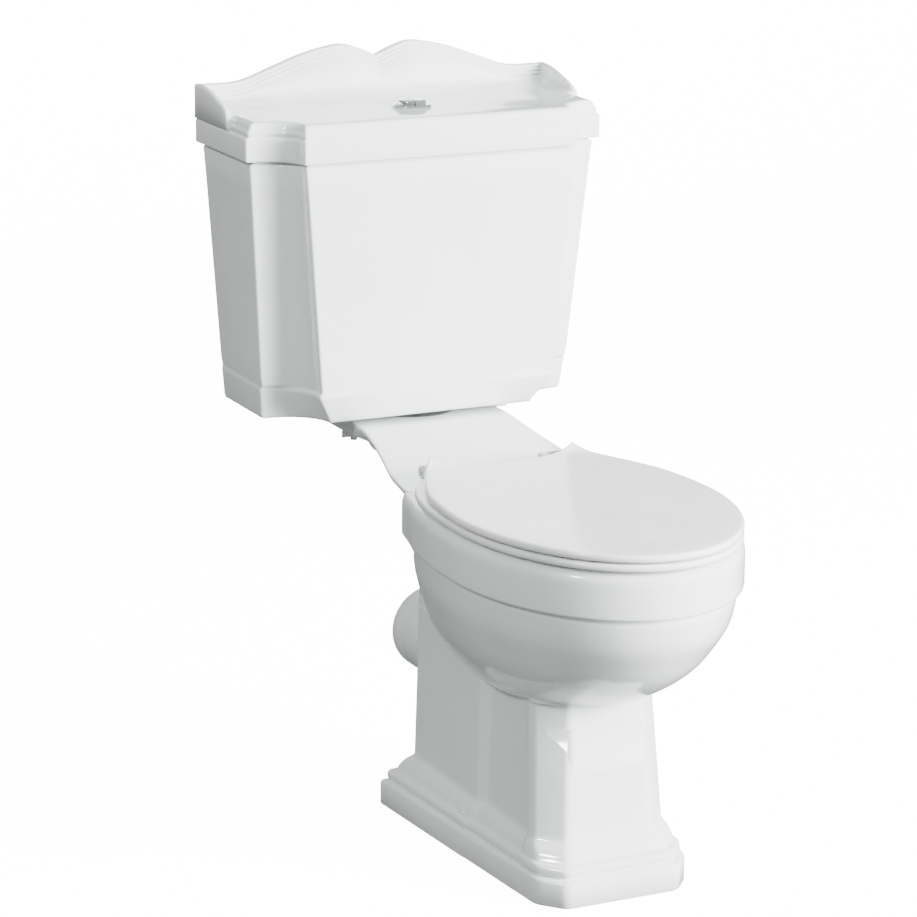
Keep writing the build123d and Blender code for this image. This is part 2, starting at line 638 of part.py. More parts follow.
def valve_backnut():
    """Six-sided nut under the cistern floor."""
    nut = extrude(Plane(at(0, FLUSH_D, 417.5)) * RegularPolygon(43.0, 6), 10.5, dir=(0, 0, 1))
    return one(nut - rod(0, FLUSH_D, 416.0, 430.0, VALVE_TAIL_R + GAP))


def doughnut_seal():
    """Soft ring between the cistern and the pan."""
    return one(tube(0, FLUSH_D, SHELF_TOP_Z - DOUGHNUT_SEAT_DEPTH, BODY_BOTTOM_Z, 53.0, 43.5))


def valve_tower():
    """Cage round the valve with water windows and the actuator head on top."""
    cage = tube(0, FLUSH_D, VALVE_SEAT_Z, TOWER_TOP_Z - 8, TOWER_R, TOWER_R - 3.5)
    window = (VALVE_SEAT_Z + 4, VALVE_SEAT_Z + 44)
    cage -= block((-16.0, 16.0), (FLUSH_D - 50, FLUSH_D + 50), window)
    cage -= block((-50.0, 50.0), (FLUSH_D - 16, FLUSH_D + 16), window)
    head = rod(0, FLUSH_D, TOWER_TOP_Z - 8, TOWER_TOP_Z, TOWER_R)
    head += block((-26.0, 26.0), (FLUSH_D - 8, FLUSH_D + 8), (TOWER_TOP_Z - 1, VALVE_HEAD_TOP_Z))
    tower = cage + head
    tower -= rod(0, FLUSH_D + 20.5, TOWER_TOP_Z - 20, TOWER_TOP_Z + 1, OVERFLOW_R + 0.5)
    for x in ROD_X:
        tower -= rod(x, FLUSH_D, VALVE_HEAD_TOP_Z - 20, VALVE_HEAD_TOP_Z + 1, ROD_R + GAP)
    return one(tower)


def valve_lift():
    """Rising valve: a disc with the overflow tube, which stands beside the head."""
    lift = rod(0, FLUSH_D, VALVE_SEAT_Z + 4, VALVE_SEAT_Z + 8, 30.0)
    lift += rod(0, FLUSH_D + 20.5, VALVE_SEAT_Z + 4, OVERFLOW_TOP_Z, OVERFLOW_R)
    return one(lift - rod(0, FLUSH_D + 20.5, VALVE_SEAT_Z + 3, OVERFLOW_TOP_Z + 1, OVERFLOW_R - 2))


def valve_seal():
    """Rubber face of the rising valve."""
    return one(tube(0, FLUSH_D, VALVE_SEAT_Z + 0.2, VALVE_SEAT_Z + 4, 30.0, 6.0) -
               rod(0, FLUSH_D + 20.5, VALVE_SEAT_Z, VALVE_SEAT_Z + 5, OVERFLOW_R - 2))


# ---------------------------------------------------------------- close coupling

def coupling_bolts():
    """Two bolts through the cistern floor and the shelf."""
    def bolt(side):
        x = side * COUPLING_X
        return rod(x, FLUSH_D, VALVE_FLOOR_Z + 4, VALVE_FLOOR_Z + 9, 9.0) + \
            rod(x, FLUSH_D, 389.0, VALVE_FLOOR_Z + 5, 4.0)
    return both_sides(bolt)


def coupling_seals():
    """Rubber washers under the bolt heads inside the cistern."""
    return both_sides(lambda side: tube(side * COUPLING_X, FLUSH_D, VALVE_FLOOR_Z,
                                        VALVE_FLOOR_Z + 4, 12.0, 4.0 + GAP))


def coupling_spacers():
    """Rubber washers between the cistern and the shelf, which carry the cistern."""
    return both_sides(lambda side: tube(side * COUPLING_X, FLUSH_D, SHELF_TOP_Z, BODY_BOTTOM_Z,
                                        14.0, 4.0 + GAP))


def coupling_washers():
    """Steel washers under the shelf."""
    return both_sides(lambda side: tube(side * COUPLING_X, FLUSH_D, SHELF_BOTTOM_Z - 2,
                                        SHELF_BOTTOM_Z, 11.0, 4.0 + GAP))


def coupling_nuts():
    """Wing nuts under the shelf."""
    return both_sides(lambda side: wing_nut(side * COUPLING_X, FLUSH_D, SHELF_BOTTOM_Z - 2, 15.0,
                                            4.0 + GAP))


# ---------------------------------------------------------------- fill valve

def fill_valve_body():
    """Riser with its flange inside and its threaded tail below the cistern."""
    body = rod(FILL_X, FILL_D, FILL_TAIL_END_Z, FILL_THREAD_TOP_Z, FILL_TAIL_R)
    body += rod(FILL_X, FILL_D, FILL_THREAD_TOP_Z - 1, FILL_HEAD_Z[0], FILL_RISER_R)
    body += rod(FILL_X, FILL_D, VALVE_FLOOR_Z + 2, VALVE_FLOOR_Z + 8, 17.0)
    return one(body - rod(FILL_X, FILL_D, FILL_TAIL_END_Z - 1, FILL_HEAD_Z[0] - 6, 6.0))


def fill_valve_washer():
    """Seal between the riser flange and the cistern floor."""
    return one(tube(FILL_X, FILL_D, VALVE_FLOOR_Z, VALVE_FLOOR_Z + 2, 17.0, FILL_RISER_R + GAP))


def fill_valve_backnut():
    """Nut that clamps the riser under the cistern."""
    nut = extrude(Plane(at(FILL_X, FILL_D, BODY_BOTTOM_Z - 9)) * RegularPolygon(17.0, 6), 9,
                  dir=(0, 0, 1))
    return one(nut - rod(FILL_X, FILL_D, 410.0, 430.0, FILL_RISER_R + GAP))


def fill_valve_head():
    """Head of the fill valve with the two ears that hold the float arm."""
    head = rod(FILL_X, FILL_D, *FILL_HEAD_Z, 16.0)
    for side in (-1, 1):
        ear_d = sorted((FILL_D + side * 4.5, FILL_D + side * 8.0))
        head += block((ARM_PIVOT_X - 5, FILL_X - 8), ear_d, (ARM_PIVOT_Z - 6, ARM_PIVOT_Z + 6))
    pivot = Pos(at(ARM_PIVOT_X, FILL_D, ARM_PIVOT_Z)) * Rot(90, 0, 0) * Cylinder(2.0, 30)
    return one(head - pivot)


def float_arm_pin():
    """Pin through the ears."""
    pin = Pos(at(ARM_PIVOT_X, FILL_D, ARM_PIVOT_Z)) * Rot(90, 0, 0) * Cylinder(1.95, 18)
    return one(pin)


def float_arm():
    """Short lever from the head to the float, with an eye at each end."""
    arm = block((FLOAT_X - 6, ARM_PIVOT_X - 1), (FILL_D - 4, FILL_D + 4),
                (ARM_PIVOT_Z - 4, ARM_PIVOT_Z + 4))
    arm += Pos(at(ARM_PIVOT_X, FILL_D, ARM_PIVOT_Z)) * Rot(90, 0, 0) * Cylinder(5.0, 8)
    arm -= Pos(at(ARM_PIVOT_X, FILL_D, ARM_PIVOT_Z)) * Rot(90, 0, 0) * Cylinder(2.05, 20)
    return one(arm - rod(FLOAT_X, FILL_D, ARM_PIVOT_Z - 10, ARM_PIVOT_Z + 10, 2.6))


def float_screw():
    """Screw that sets the water level, from the arm into the float."""
    return one(rod(FLOAT_X, FILL_D, 672.0, ARM_PIVOT_Z + 14, 2.5) +
               rod(FLOAT_X, FILL_D, ARM_PIVOT_Z + 4, ARM_PIVOT_Z + 7, 4.5))


def float_cup():
    """Upturned cup that floats."""
    cup = rod(FLOAT_X, FILL_D, 632.0, 688.0, 24.0) - rod(FLOAT_X, FILL_D, 631.0, 684.0, 22.0)
    cup += rod(FLOAT_X, FILL_D, 665.0, 685.0, 6.0)
    return one(cup - rod(FLOAT_X, FILL_D, 660.0, 700.0, 2.6))


PARTS = {
    "pan": pan,
    "cistern_body": cistern_body,
    "cistern_lid": cistern_lid,
    "seat_ring": seat_ring,
    "seat_lid": seat_lid,
    "hinge_post_left": lambda: hinge_post(-1),
    "hinge_post_right": lambda: hinge_post(1),
    "hinge_pins": hinge_pins,
    "hinge_gaskets": hinge_gaskets,
    "seat_studs": seat_studs,
    "seat_washers": seat_washers,
    "seat_nuts": seat_nuts,
    "ring_buffers": ring_buffers,
    "lid_buffers": lid_buffers,
    "button_bezel": button_bezel,
    "button_nut": button_nut,
    "full_flush_button": lambda: button_half(1),
    "half_flush_button": lambda: button_half(-1),
    "full_flush_rod": lambda: push_rod(ROD_X[0]),
    "half_flush_rod": lambda: push_rod(ROD_X[1]),
    "full_flush_spring": lambda: button_spring(ROD_X[0]),
    "half_flush_spring": lambda: button_spring(ROD_X[1]),
    "valve_base": valve_base,
    "valve_washer": valve_washer,
    "valve_backnut": valve_backnut,
    "doughnut_seal": doughnut_seal,
    "valve_tower": valve_tower,
    "valve_lift": valve_lift,
    "valve_seal": valve_seal,
    "coupling_bolts": coupling_bolts,
    "coupling_seals": coupling_seals,
    "coupling_spacers": coupling_spacers,
    "coupling_washers": coupling_washers,
    "coupling_nuts": coupling_nuts,
    "fill_valve_body": fill_valve_body,
    "fill_valve_washer": fill_valve_washer,
    "fill_valve_backnut": fill_valve_backnut,
    "fill_valve_head": fill_valve_head,
    "float_arm": float_arm,
    "float_arm_pin": float_arm_pin,
    "float_screw": float_screw,
    "float_cup": float_cup,
}


os.makedirs("parts", exist_ok=True)
for name, make in PARTS.items():
    export_step(make(), "parts/" + name + ".step")
    print(name)
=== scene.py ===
import json
import logging
import math
from dataclasses import dataclass, field
from enum import Enum
from typing import Callable, Iterable, Sequence

import bmesh
import bpy
from mathutils import Matrix, Vector


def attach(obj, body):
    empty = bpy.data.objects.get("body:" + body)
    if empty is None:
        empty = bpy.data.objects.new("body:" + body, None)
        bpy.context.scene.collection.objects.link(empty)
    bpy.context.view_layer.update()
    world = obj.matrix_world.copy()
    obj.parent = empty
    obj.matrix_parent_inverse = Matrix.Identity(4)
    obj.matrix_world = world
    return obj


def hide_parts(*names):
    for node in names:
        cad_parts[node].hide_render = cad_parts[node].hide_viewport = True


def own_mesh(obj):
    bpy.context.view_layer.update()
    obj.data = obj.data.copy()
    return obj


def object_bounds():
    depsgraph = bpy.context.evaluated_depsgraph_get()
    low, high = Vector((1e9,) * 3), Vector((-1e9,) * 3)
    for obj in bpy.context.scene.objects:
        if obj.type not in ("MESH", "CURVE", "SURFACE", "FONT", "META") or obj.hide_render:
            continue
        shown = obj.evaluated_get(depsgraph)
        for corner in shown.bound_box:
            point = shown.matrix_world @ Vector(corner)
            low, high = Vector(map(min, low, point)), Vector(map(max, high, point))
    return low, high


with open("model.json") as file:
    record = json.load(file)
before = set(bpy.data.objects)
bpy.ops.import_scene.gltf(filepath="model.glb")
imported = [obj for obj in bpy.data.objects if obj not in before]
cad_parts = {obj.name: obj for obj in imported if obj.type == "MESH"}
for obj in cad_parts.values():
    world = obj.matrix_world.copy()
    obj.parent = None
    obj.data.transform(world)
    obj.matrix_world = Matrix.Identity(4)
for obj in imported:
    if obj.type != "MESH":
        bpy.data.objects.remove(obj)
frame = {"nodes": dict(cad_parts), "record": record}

LOG = logging.getLogger("toilet")
MM = 0.001
CAD_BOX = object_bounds()
WALL_Y = CAD_BOX[1].y
Point = tuple[float, float]


class Body(Enum):
    """The moving bodies that pieces ride on."""

    PAN = "pan_body"
    COVER = "cistern_lid_body"
    FULL_BUTTON = "full_flush"
    HALF_BUTTON = "half_flush"
    SEAT_LID = "seat_lid_body"
    SEAT_RING = "seat_ring_body"


def place(x: float, d: float, z: float) -> Vector:
    """Point of the shared frame, in metres, from millimetres.

    Args:
        x: distance to the right of the centre line.
        d: distance forwards from the wall plane.
        z: height above the floor.

    Returns:
        The point as a vector in metres.
    """
    return Vector((x * MM, WALL_Y - d * MM, z * MM))


def smooth_value(table: Sequence[Sequence[float]], at: float) -> list[float]:
    """Reads a table of rows on a smooth curve through its rows.

    Args:
        table: rows whose first number rises or falls from row to row.
        at: the first number to read the table at.

    Returns:
        The other numbers of the row at that place.
    """
    rows = sorted(table)
    at = min(max(at, rows[0][0]), rows[-1][0])
    low = max(i for i in range(len(rows) - 1) if rows[i][0] <= at)
    before, after = rows[max(low - 1, 0)], rows[min(low + 2, len(rows) - 1)]
    start, end = rows[low], rows[low + 1]
    span = end[0] - start[0]
    t = (at - start[0]) / span
    out = []
    for k in range(1, len(start)):
        slope_a = (end[k] - before[k]) / (end[0] - before[0]) * span
        slope_b = (after[k] - start[k]) / (after[0] - start[0]) * span
        out.append((2 * t**3 - 3 * t**2 + 1) * start[k] + (t**3 - 2 * t**2 + t) * slope_a
                   + (3 * t**2 - 2 * t**3) * end[k] + (t**3 - t**2) * slope_b)
    return out


def soften(corners: Sequence[tuple[float, float, float]], steps: int = 5) -> list[Point]:
    """Rounds the corners of an open outline.

    Args:
        corners: points as (x, d, reach), where reach is how far the rounding runs each way.
        steps: how many edges each rounding has.

    Returns:
        The points of the rounded outline, always the same number for the same corners.
    """
    out: list[Point] = []
    for i, (x, d, reach) in enumerate(corners):
        here = Vector((x, d))
        if not reach or i in (0, len(corners) - 1):
            out.append((x, d))
            continue
        back = Vector(corners[i - 1][:2]) - here
        ahead = Vector(corners[i + 1][:2]) - here
        start = here + back.normalized() * min(reach, back.length * 0.49)
        end = here + ahead.normalized() * min(reach, ahead.length * 0.49)
        for k in range(steps + 1):
            t = k / steps
            p = start * (1 - t) ** 2 + here * 2 * t * (1 - t) + end * t**2
            out.append((p.x, p.y))
    return out


def mirrored(half: Sequence[Point]) -> list[Point]:
    """Whole closed outline from its right half, which runs from the front centre to the back centre."""
    return list(half) + [(-x, d) for x, d in reversed(half[1:-1])]


def offset(outline: Sequence[Point], amount: float) -> list[Point]:
    """Moves every point of a closed outline inwards.

    Args:
        outline: the points, clockwise seen from above with d forwards.
        amount: how far, in millimetres.

    Returns:
        The smaller outline.
    """
    count = len(outline)
    middle = Vector((0.0, sum(p[1] for p in outline) / count))
    out = []
    for i, point in enumerate(outline):
        here = Vector(point)
        along = Vector(outline[(i + 1) % count]) - Vector(outline[i - 1])
        normal = Vector((-along.y, along.x)).normalized()
        if normal.dot(middle - here) < 0:
            normal.negate()
        moved = here + normal * amount
        out.append((moved.x, moved.y))
    return out


def lerp(a: float, b: float, t: float) -> float:
    """Value part of the way from a to b."""
    return a + (b - a) * t


class Shell:
    """Mesh that grows as rings of vertices, each bridged to the next."""

    def __init__(self) -> None:
        """Starts an empty mesh."""
        self.mesh = bmesh.new()

    def ring(self, points: Sequence[Vector]) -> list[bmesh.types.BMEdge]:
        """Makes one closed ring of edges through the points."""
        made = bmesh.ops.create_circle(self.mesh, segments=len(points), radius=1.0)["verts"]
        for vertex, point in zip(made, points):
            vertex.co = point
        return list({edge for vertex in made for edge in vertex.link_edges})

    def loft(self, rings: Iterable[Sequence[Vector]], caps: bool = True) -> "Shell":
        """Bridges rings in order.

        Args:
            rings: lists of points, all of one length.
            caps: whether the first and last rings are filled.

        Returns:
            This shell.
        """
        edges = [self.ring(points) for points in rings]
        for low, high in zip(edges, edges[1:]):
            bmesh.ops.bridge_loops(self.mesh, edges=low + high)
        if caps:
            bmesh.ops.edgeloop_fill(self.mesh, edges=edges[0])
            bmesh.ops.edgeloop_fill(self.mesh, edges=edges[-1])
        return self

    def plans(self, outlines: Iterable[tuple[Sequence[Point], float]], caps: bool = True) -> "Shell":
        """Lofts level outlines, given as (outline, height), keeping neighbours just apart in height."""
        rings, last = [], None
        for outline, z in outlines:
            height = z + 0.03 if last is not None and abs(z - last) < 0.01 else z
            rings.append([place(x, d, height) for x, d in outline])
            last = height
        return self.loft(rings, caps)

    def spin(self, profile: Sequence[Point], centre: Vector, axis: Vector, steps: int = 64) -> "Shell":
        """Turns an open profile about an axis.

        Args:
            profile: (radius, distance along the axis) points, from the axis back to the axis.
            centre: where the axis starts, in metres.
            axis: direction of the axis.
            steps: number of steps round.

        Returns:
            This shell.
        """
        side = axis.orthogonal().normalized()
        verts = [self.mesh.verts.new(centre + side * r * MM + axis * h * MM) for r, h in profile]
        edges = [self.mesh.edges.new(pair) for pair in zip(verts, verts[1:])]
        bmesh.ops.spin(self.mesh, geom=verts + edges, cent=centre, axis=axis, angle=2 * math.pi,
                       steps=steps, use_merge=True)
        bmesh.ops.remove_doubles(self.mesh, verts=self.mesh.verts, dist=1e-6)
        return self

    def block(self, low: Vector, high: Vector, edge: float) -> "Shell":
        """Adds a box between two corners, with rounded edges of that size in millimetres."""
        size = high - low
        made = bmesh.ops.create_cube(self.mesh, size=1.0,
                                     matrix=Matrix.Translation((low + high) / 2)
                                     @ Matrix.Diagonal((abs(size.x), abs(size.y), abs(size.z), 1)))
        edges = list({e for v in made["verts"] for e in v.link_edges})
        bmesh.ops.bevel(self.mesh, geom=edges, offset=edge * MM, segments=3, profile=0.5,
                        affect="EDGES", material=-1)
        return self

    def piece(self, name: str, body: Body, nodes: Sequence[str], slot: str,
              finish: bpy.types.Material) -> bpy.types.Object:
        """Turns the mesh into a finished piece of the object.

        Args:
            name: the piece's name.
            body: the body that it rides on.
            nodes: the CAD nodes that it stands for.
            slot: the record's material slot; not used.
            finish: its material.

        Returns:
            The Blender object.
        """
        bmesh.ops.recalc_face_normals(self.mesh, faces=self.mesh.faces)
        for face in self.mesh.faces:
            face.smooth = True
        data = bpy.data.meshes.new(name)
        self.mesh.to_mesh(data)
        self.mesh.free()
        data.materials.append(finish)
        obj = bpy.data.objects.new(name, data)
        bpy.context.scene.collection.objects.link(obj)
        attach(obj, body.value)
        if nodes:
            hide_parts(*nodes)
        return obj


# ---------------------------------------------------------------- finishes


class Socket:
    """Output socket that takes part in ordinary arithmetic."""

    def __init__(self, graph: "Graph", output: bpy.types.NodeSocket) -> None:
        """Keeps the output and the graph it belongs to."""
        self.graph = graph
        self.output = output

    def _math(self, kind: str, first: object, second: object) -> "Socket":
        """Adds one Math node."""
        return self.graph.add("ShaderNodeMath", {"operation": kind}, {0: first, 1: second})

    def __add__(self, other: object) -> "Socket":
        """Sum."""
        return self._math("ADD", self, other)

    def __radd__(self, other: object) -> "Socket":
        """Sum with the number first."""
        return self._math("ADD", other, self)

    def __sub__(self, other: object) -> "Socket":
        """Difference."""
        return self._math("SUBTRACT", self, other)

    def __rsub__(self, other: object) -> "Socket":
        """Difference with the number first."""
        return self._math("SUBTRACT", other, self)

    def __mul__(self, other: object) -> "Socket":
        """Product."""
        return self._math("MULTIPLY", self, other)

    def __rmul__(self, other: object) -> "Socket":
        """Product with the number first."""
        return self._math("MULTIPLY", other, self)

    def step_above(self, edge: float, width: float) -> "Socket":
        """Smooth mask that rises from 0 to 1 over a width starting at the edge."""
        return self.graph.add("ShaderNodeMapRange", {"interpolation_type": "SMOOTHSTEP"},
                              {"Value": self, "From Min": edge, "From Max": edge + width})


class Graph:
    """Node tree of one material."""

    def __init__(self, name: str) -> None:
        """Makes an empty node material."""
        self.material = bpy.data.materials.new(name)
        self.material.use_nodes = True
        self.tree = self.material.node_tree
        self.tree.nodes.clear()
        self.place = self.add("ShaderNodeTexCoord", {}, {}, output="Object")

    def add(self, kind: str, settings: dict[str, object], inputs: dict[object, object],
            output: object = 0) -> Socket:
        """Adds a node.

        Args:
            kind: the node's type.
            settings: properties, set first; a ramp's stops are given as "stops".
            inputs: values or links by socket name or number.
            output: which output to return.

        Returns:
            That output, wrapped.
        """
        node = self.tree.nodes.new(kind)
        for key, value in settings.items():
            if key == "stops":
                ramp = node.color_ramp
                for stop, (where, colour) in zip(ramp.elements, value):
                    stop.position = where
                    stop.color = (*colour, 1.0)
            else:
                setattr(node, key, value)
        for key, value in inputs.items():
            socket = node.inputs[key]
            if isinstance(value, Socket):
                self.tree.links.new(value.output, socket)
            else:
                socket.default_value = value
        return Socket(self, node.outputs[output])

    def noise(self, scale: float, detail: float = 2.0, stretch: Sequence[float] = (1, 1, 1)) -> Socket:
        """Cloudy pattern, 0 to 1, with that many features to the metre."""
        spot = self.add("ShaderNodeMapping", {}, {"Vector": self.place, "Scale": tuple(stretch)})
        return self.add("ShaderNodeTexNoise", {}, {"Vector": spot, "Scale": scale, "Detail": detail})

    def specks(self, scale: float) -> Socket:
        """Distance to scattered points, for specks and pinholes."""
        return self.add("ShaderNodeTexVoronoi", {}, {"Vector": self.place, "Scale": scale},
                        output="Distance")

    def blend(self, mask: Socket, low: Sequence[float], high: Sequence[float]) -> Socket:
        """Colour between two colours by a mask."""
        return self.add("ShaderNodeMix", {"data_type": "RGBA"},
                        {0: mask, 6: (*low, 1.0), 7: (*high, 1.0)}, output=2)

    def bump(self, height: Socket, depth: float, under: Socket | None = None) -> Socket:
        """Bump of that real depth in metres, over another one if given."""
        inputs: dict[object, object] = {"Height": height, "Distance": depth, "Strength": 1.0}
        if under is not None:
            inputs["Normal"] = under
        return self.add("ShaderNodeBump", {}, inputs)

    def shade(self, **values: object) -> bpy.types.Material:
        """Finishes the material with a Principled shader set by names such as base_color."""
        inputs = {key.replace("_", " ").title().replace("Ior", "IOR"): value
                  for key, value in values.items()}
        shader = self.add("ShaderNodeBsdfPrincipled", {}, inputs)
        end = self.tree.nodes.new("ShaderNodeOutputMaterial")
        self.tree.links.new(shader.output, end.inputs["Surface"])
        return self.material


@dataclass(frozen=True)
class Glaze:
    """White vitreous glaze over fired clay."""

    name: str = "glazed_china"
    pale: tuple[float, float, float] = (0.84, 0.86, 0.855)
    deep: tuple[float, float, float] = (0.79, 0.815, 0.81)
    roughness: float = 0.10

    def material(self) -> bpy.types.Material:
        """Glaze that pools slightly, with a faint wave, orange peel and rare pinholes."""
        g = Graph(self.name)
        clouds = g.noise(7.0, 3.0)
        wave = g.noise(22.0, 1.0)
        peel = g.noise(420.0, 2.0)
        pinhole = 1.0 - g.specks(34.0).step_above(0.018, 0.014)
        colour = g.blend(clouds.step_above(0.35, 0.35), self.pale, self.deep)
        speckled = g.add("ShaderNodeMix", {"data_type": "RGBA"},
                         {0: pinhole * 0.35, 6: colour, 7: (0.52, 0.50, 0.46, 1.0)}, output=2)
        under = g.bump(wave, 0.0006)
        fine = g.bump(peel - pinhole * 0.8, 0.00003, under)
        return g.shade(base_color=speckled, roughness=self.roughness + 0.05 * clouds, normal=fine,
                       coat_weight=0.55, coat_roughness=0.03, ior=1.52)


@dataclass(frozen=True)
class Plastic:
    """Moulded plastic, glossy or satin."""

    name: str
    colour: tuple[float, float, float]
    roughness: float = 0.35
    grain: float = 0.00004
    scuffs: float = 0.12

    def material(self) -> bpy.types.Material:
        """Plastic with a fine moulded grain, flow marks and light handling scuffs."""
        g = Graph(self.name)
        flow = g.noise(14.0, 2.0, (1, 1, 3))
        grain = g.noise(900.0, 2.0)
        rub = g.noise(60.0, 6.0, (1, 4, 1)).step_above(0.58, 0.12)
        darker = tuple(c * 0.93 for c in self.colour)
        colour = g.blend(flow.step_above(0.4, 0.3), self.colour, darker)
        return g.shade(base_color=colour, roughness=self.roughness + self.scuffs * rub,
                       normal=g.bump(grain, self.grain), ior=1.49)


@dataclass(frozen=True)
class Metal:
    """Metal, polished or brushed."""

    name: str
    colour: tuple[float, float, float]
    roughness: float = 0.07
    brushed: float = 0.0

    def material(self) -> bpy.types.Material:
        """Metal with drawn lines along its length, and finger marks."""
        g = Graph(self.name)
        lines = g.noise(160.0, 3.0, (1, 14, 14))
        smudge = g.noise(85.0, 4.0).step_above(0.5, 0.2)
        dull = tuple(c * 0.86 for c in self.colour)
        colour = g.blend(smudge * 0.6 + lines * 0.4, self.colour, dull)
        rough = self.roughness + 0.07 * smudge + self.brushed * lines
        return g.shade(base_color=colour, metallic=1.0, roughness=rough,
                       normal=g.bump(lines, 0.00001 + 0.00005 * self.brushed))


@dataclass(frozen=True)
class Rubber:
    """Soft rubber or clear elastomer."""

    name: str
    colour: tuple[float, float, float]
    roughness: float = 0.62

    def material(self) -> bpy.types.Material:
        """Rubber with dusty bloom and a fine grain."""
        g = Graph(self.name)
        bloom = g.noise(45.0, 5.0).step_above(0.45, 0.25)
        pale = tuple(min(1.0, c + 0.05) for c in self.colour)
        return g.shade(base_color=g.blend(bloom, self.colour, pale),
                       roughness=self.roughness + 0.15 * bloom,
                       normal=g.bump(g.noise(700.0, 3.0), 0.00006))


FINISHES: dict[str, Glaze | Plastic | Metal | Rubber] = {
    "glazed_china": Glaze(),
    "seat_plastic": Plastic("seat_plastic", (0.86, 0.865, 0.86), 0.13, 0.00001, 0.05),
    "chrome": Metal("chrome", (0.74, 0.76, 0.78), 0.06),
    "white_plastic": Plastic("white_plastic", (0.80, 0.80, 0.77)),
    "grey_plastic": Plastic("grey_plastic", (0.20, 0.21, 0.23), 0.42),
    "blue_plastic": Plastic("blue_plastic", (0.04, 0.13, 0.42), 0.38),
    "brass": Metal("brass", (0.72, 0.50, 0.20), 0.24, 0.20),
    "zinc_steel": Metal("zinc_steel", (0.60, 0.62, 0.63), 0.22, 0.25),
    "black_rubber": Rubber("black_rubber", (0.022, 0.022, 0.024)),
    "clear_buffer": Rubber("clear_buffer", (0.74, 0.76, 0.76), 0.35),
    "spring_steel": Metal("spring_steel", (0.52, 0.53, 0.55), 0.16, 0.10),
}


class Finishes:
    """Every material of the object, made once."""

    def __init__(self) -> None:
        """Builds one material for each finish."""
        self.made = {name: finish.material() for name, finish in FINISHES.items()}

    def __getitem__(self, name: str) -> bpy.types.Material:
        """The material of a slot."""
        return self.made[name]

    def dress(self, node: str, slot: str) -> None:
        """Gives a carried-over node its material."""
        obj = frame["nodes"][node]
        obj.data.materials.clear()
        obj.data.materials.append(self[slot])


# ---------------------------------------------------------------- cistern


@dataclass(frozen=True)
class ScoopedPlan:
    """Plan with a straight back and a concave quarter scooped from each front corner."""

    half: float
    arris_d: float
    front_half: float
    front_d: float

    def inset(self, amount: float) -> "ScoopedPlan":
        """The same plan, smaller all round."""
        return ScoopedPlan(self.half - amount, self.arris_d - amount / 2,
                           self.front_half - amount / 2, self.front_d - amount)

    def toward(self, other: "ScoopedPlan", t: float) -> "ScoopedPlan":
        """Plan part of the way to another."""
        return ScoopedPlan(lerp(self.half, other.half, t), lerp(self.arris_d, other.arris_d, t),
                           lerp(self.front_half, other.front_half, t),
                           lerp(self.front_d, other.front_d, t))

    def outline(self, rear_d: float, soft: float = 4.0, arc: int = 12) -> list[Point]:
        """Closed outline with its arrises rounded.

        Args:
            rear_d: where the back is.
            soft: reach of the rounding at the arrises.
            arc: number of edges in each scoop.

        Returns:
            The points, starting at the front centre.
        """
        width = self.half - self.front_half
        depth = self.front_d - self.arris_d
        corners = [(0.0, self.front_d, 0.0)]
        for k in range(arc + 1):
            turn = math.pi / 2 * (1 - k / arc)
            reach = soft if k in (0, arc) else 0.0
            corners.append((self.half - width * math.sin(turn), self.front_d - depth * math.cos(turn),
                            reach))
        corners += [(self.half, rear_d, soft), (0.0, rear_d, 0.0)]
        return mirrored(soften(corners))


@dataclass
class Cistern:
    """China tank that tapers down to a band."""

    top_z: float = 735.0
    ledge_z: float = 468.0
    bottom_z: float = 428.0
    rear_d: float = 6.0
    wall: float = 10.0
    floor_z: float = 440.0
    top: ScoopedPlan = ScoopedPlan(218.0, 150.0, 168.0, 196.0)
    ledge: ScoopedPlan = ScoopedPlan(197.5, 130.0, 147.0, 190.0)
    band: ScoopedPlan = ScoopedPlan(197.5, 126.0, 150.0, 192.0)
    foot: ScoopedPlan = ScoopedPlan(194.5, 122.0, 131.0, 174.0)

    def build(self, finishes: Finishes) -> None:
        """Makes the tank, inside and out."""
        inner = self.rear_d + self.wall
        outside = [(self.foot.inset(14.0), self.bottom_z), (self.foot.inset(5.0), self.bottom_z),
                   (self.foot.inset(1.5), self.bottom_z + 1.2), (self.foot, self.bottom_z + 5.0),
                   (self.band.inset(0.4), self.ledge_z - 6.0), (self.band, self.ledge_z - 3.0),
                   (self.band.inset(0.8), self.ledge_z - 0.8), (self.ledge.inset(1.0), self.ledge_z + 0.6),
                   (self.ledge.inset(0.6), self.ledge_z + 3.0),
                   (self.ledge.toward(self.top, 0.05), self.ledge_z + 13.0)]
        outside += [(self.ledge.toward(self.top, t / 8), lerp(self.ledge_z, self.top_z, t / 8))
                    for t in range(1, 8)]
        outside += [(self.top, self.top_z - 4.6), (self.top.inset(1.0), self.top_z - 3.2),
                    (self.top.inset(4.5), self.top_z - 2.6), (self.top.inset(5.0), self.top_z)]
        inside = [(self.top.inset(self.wall - 2.0), self.top_z),
                  (self.top.inset(self.wall), self.top_z - 3.0),
                  (self.ledge.inset(self.wall), self.ledge_z),
                  (self.foot.inset(self.wall), self.floor_z + 6.0),
                  (self.foot.inset(self.wall + 6.0), self.floor_z),
                  (self.foot.inset(self.wall + 16.0), self.floor_z)]
        shell = Shell()
        shell.plans([(plan.outline(self.rear_d + (14.0 if i == 0 else 0.0)), z)
                     for i, (plan, z) in enumerate(outside)]
                    + [(plan.outline(inner), z) for plan, z in inside])
        shell.piece("cistern_tank", Body.PAN, ["cistern_body"], "glazed_china",
                    finishes["glazed_china"])


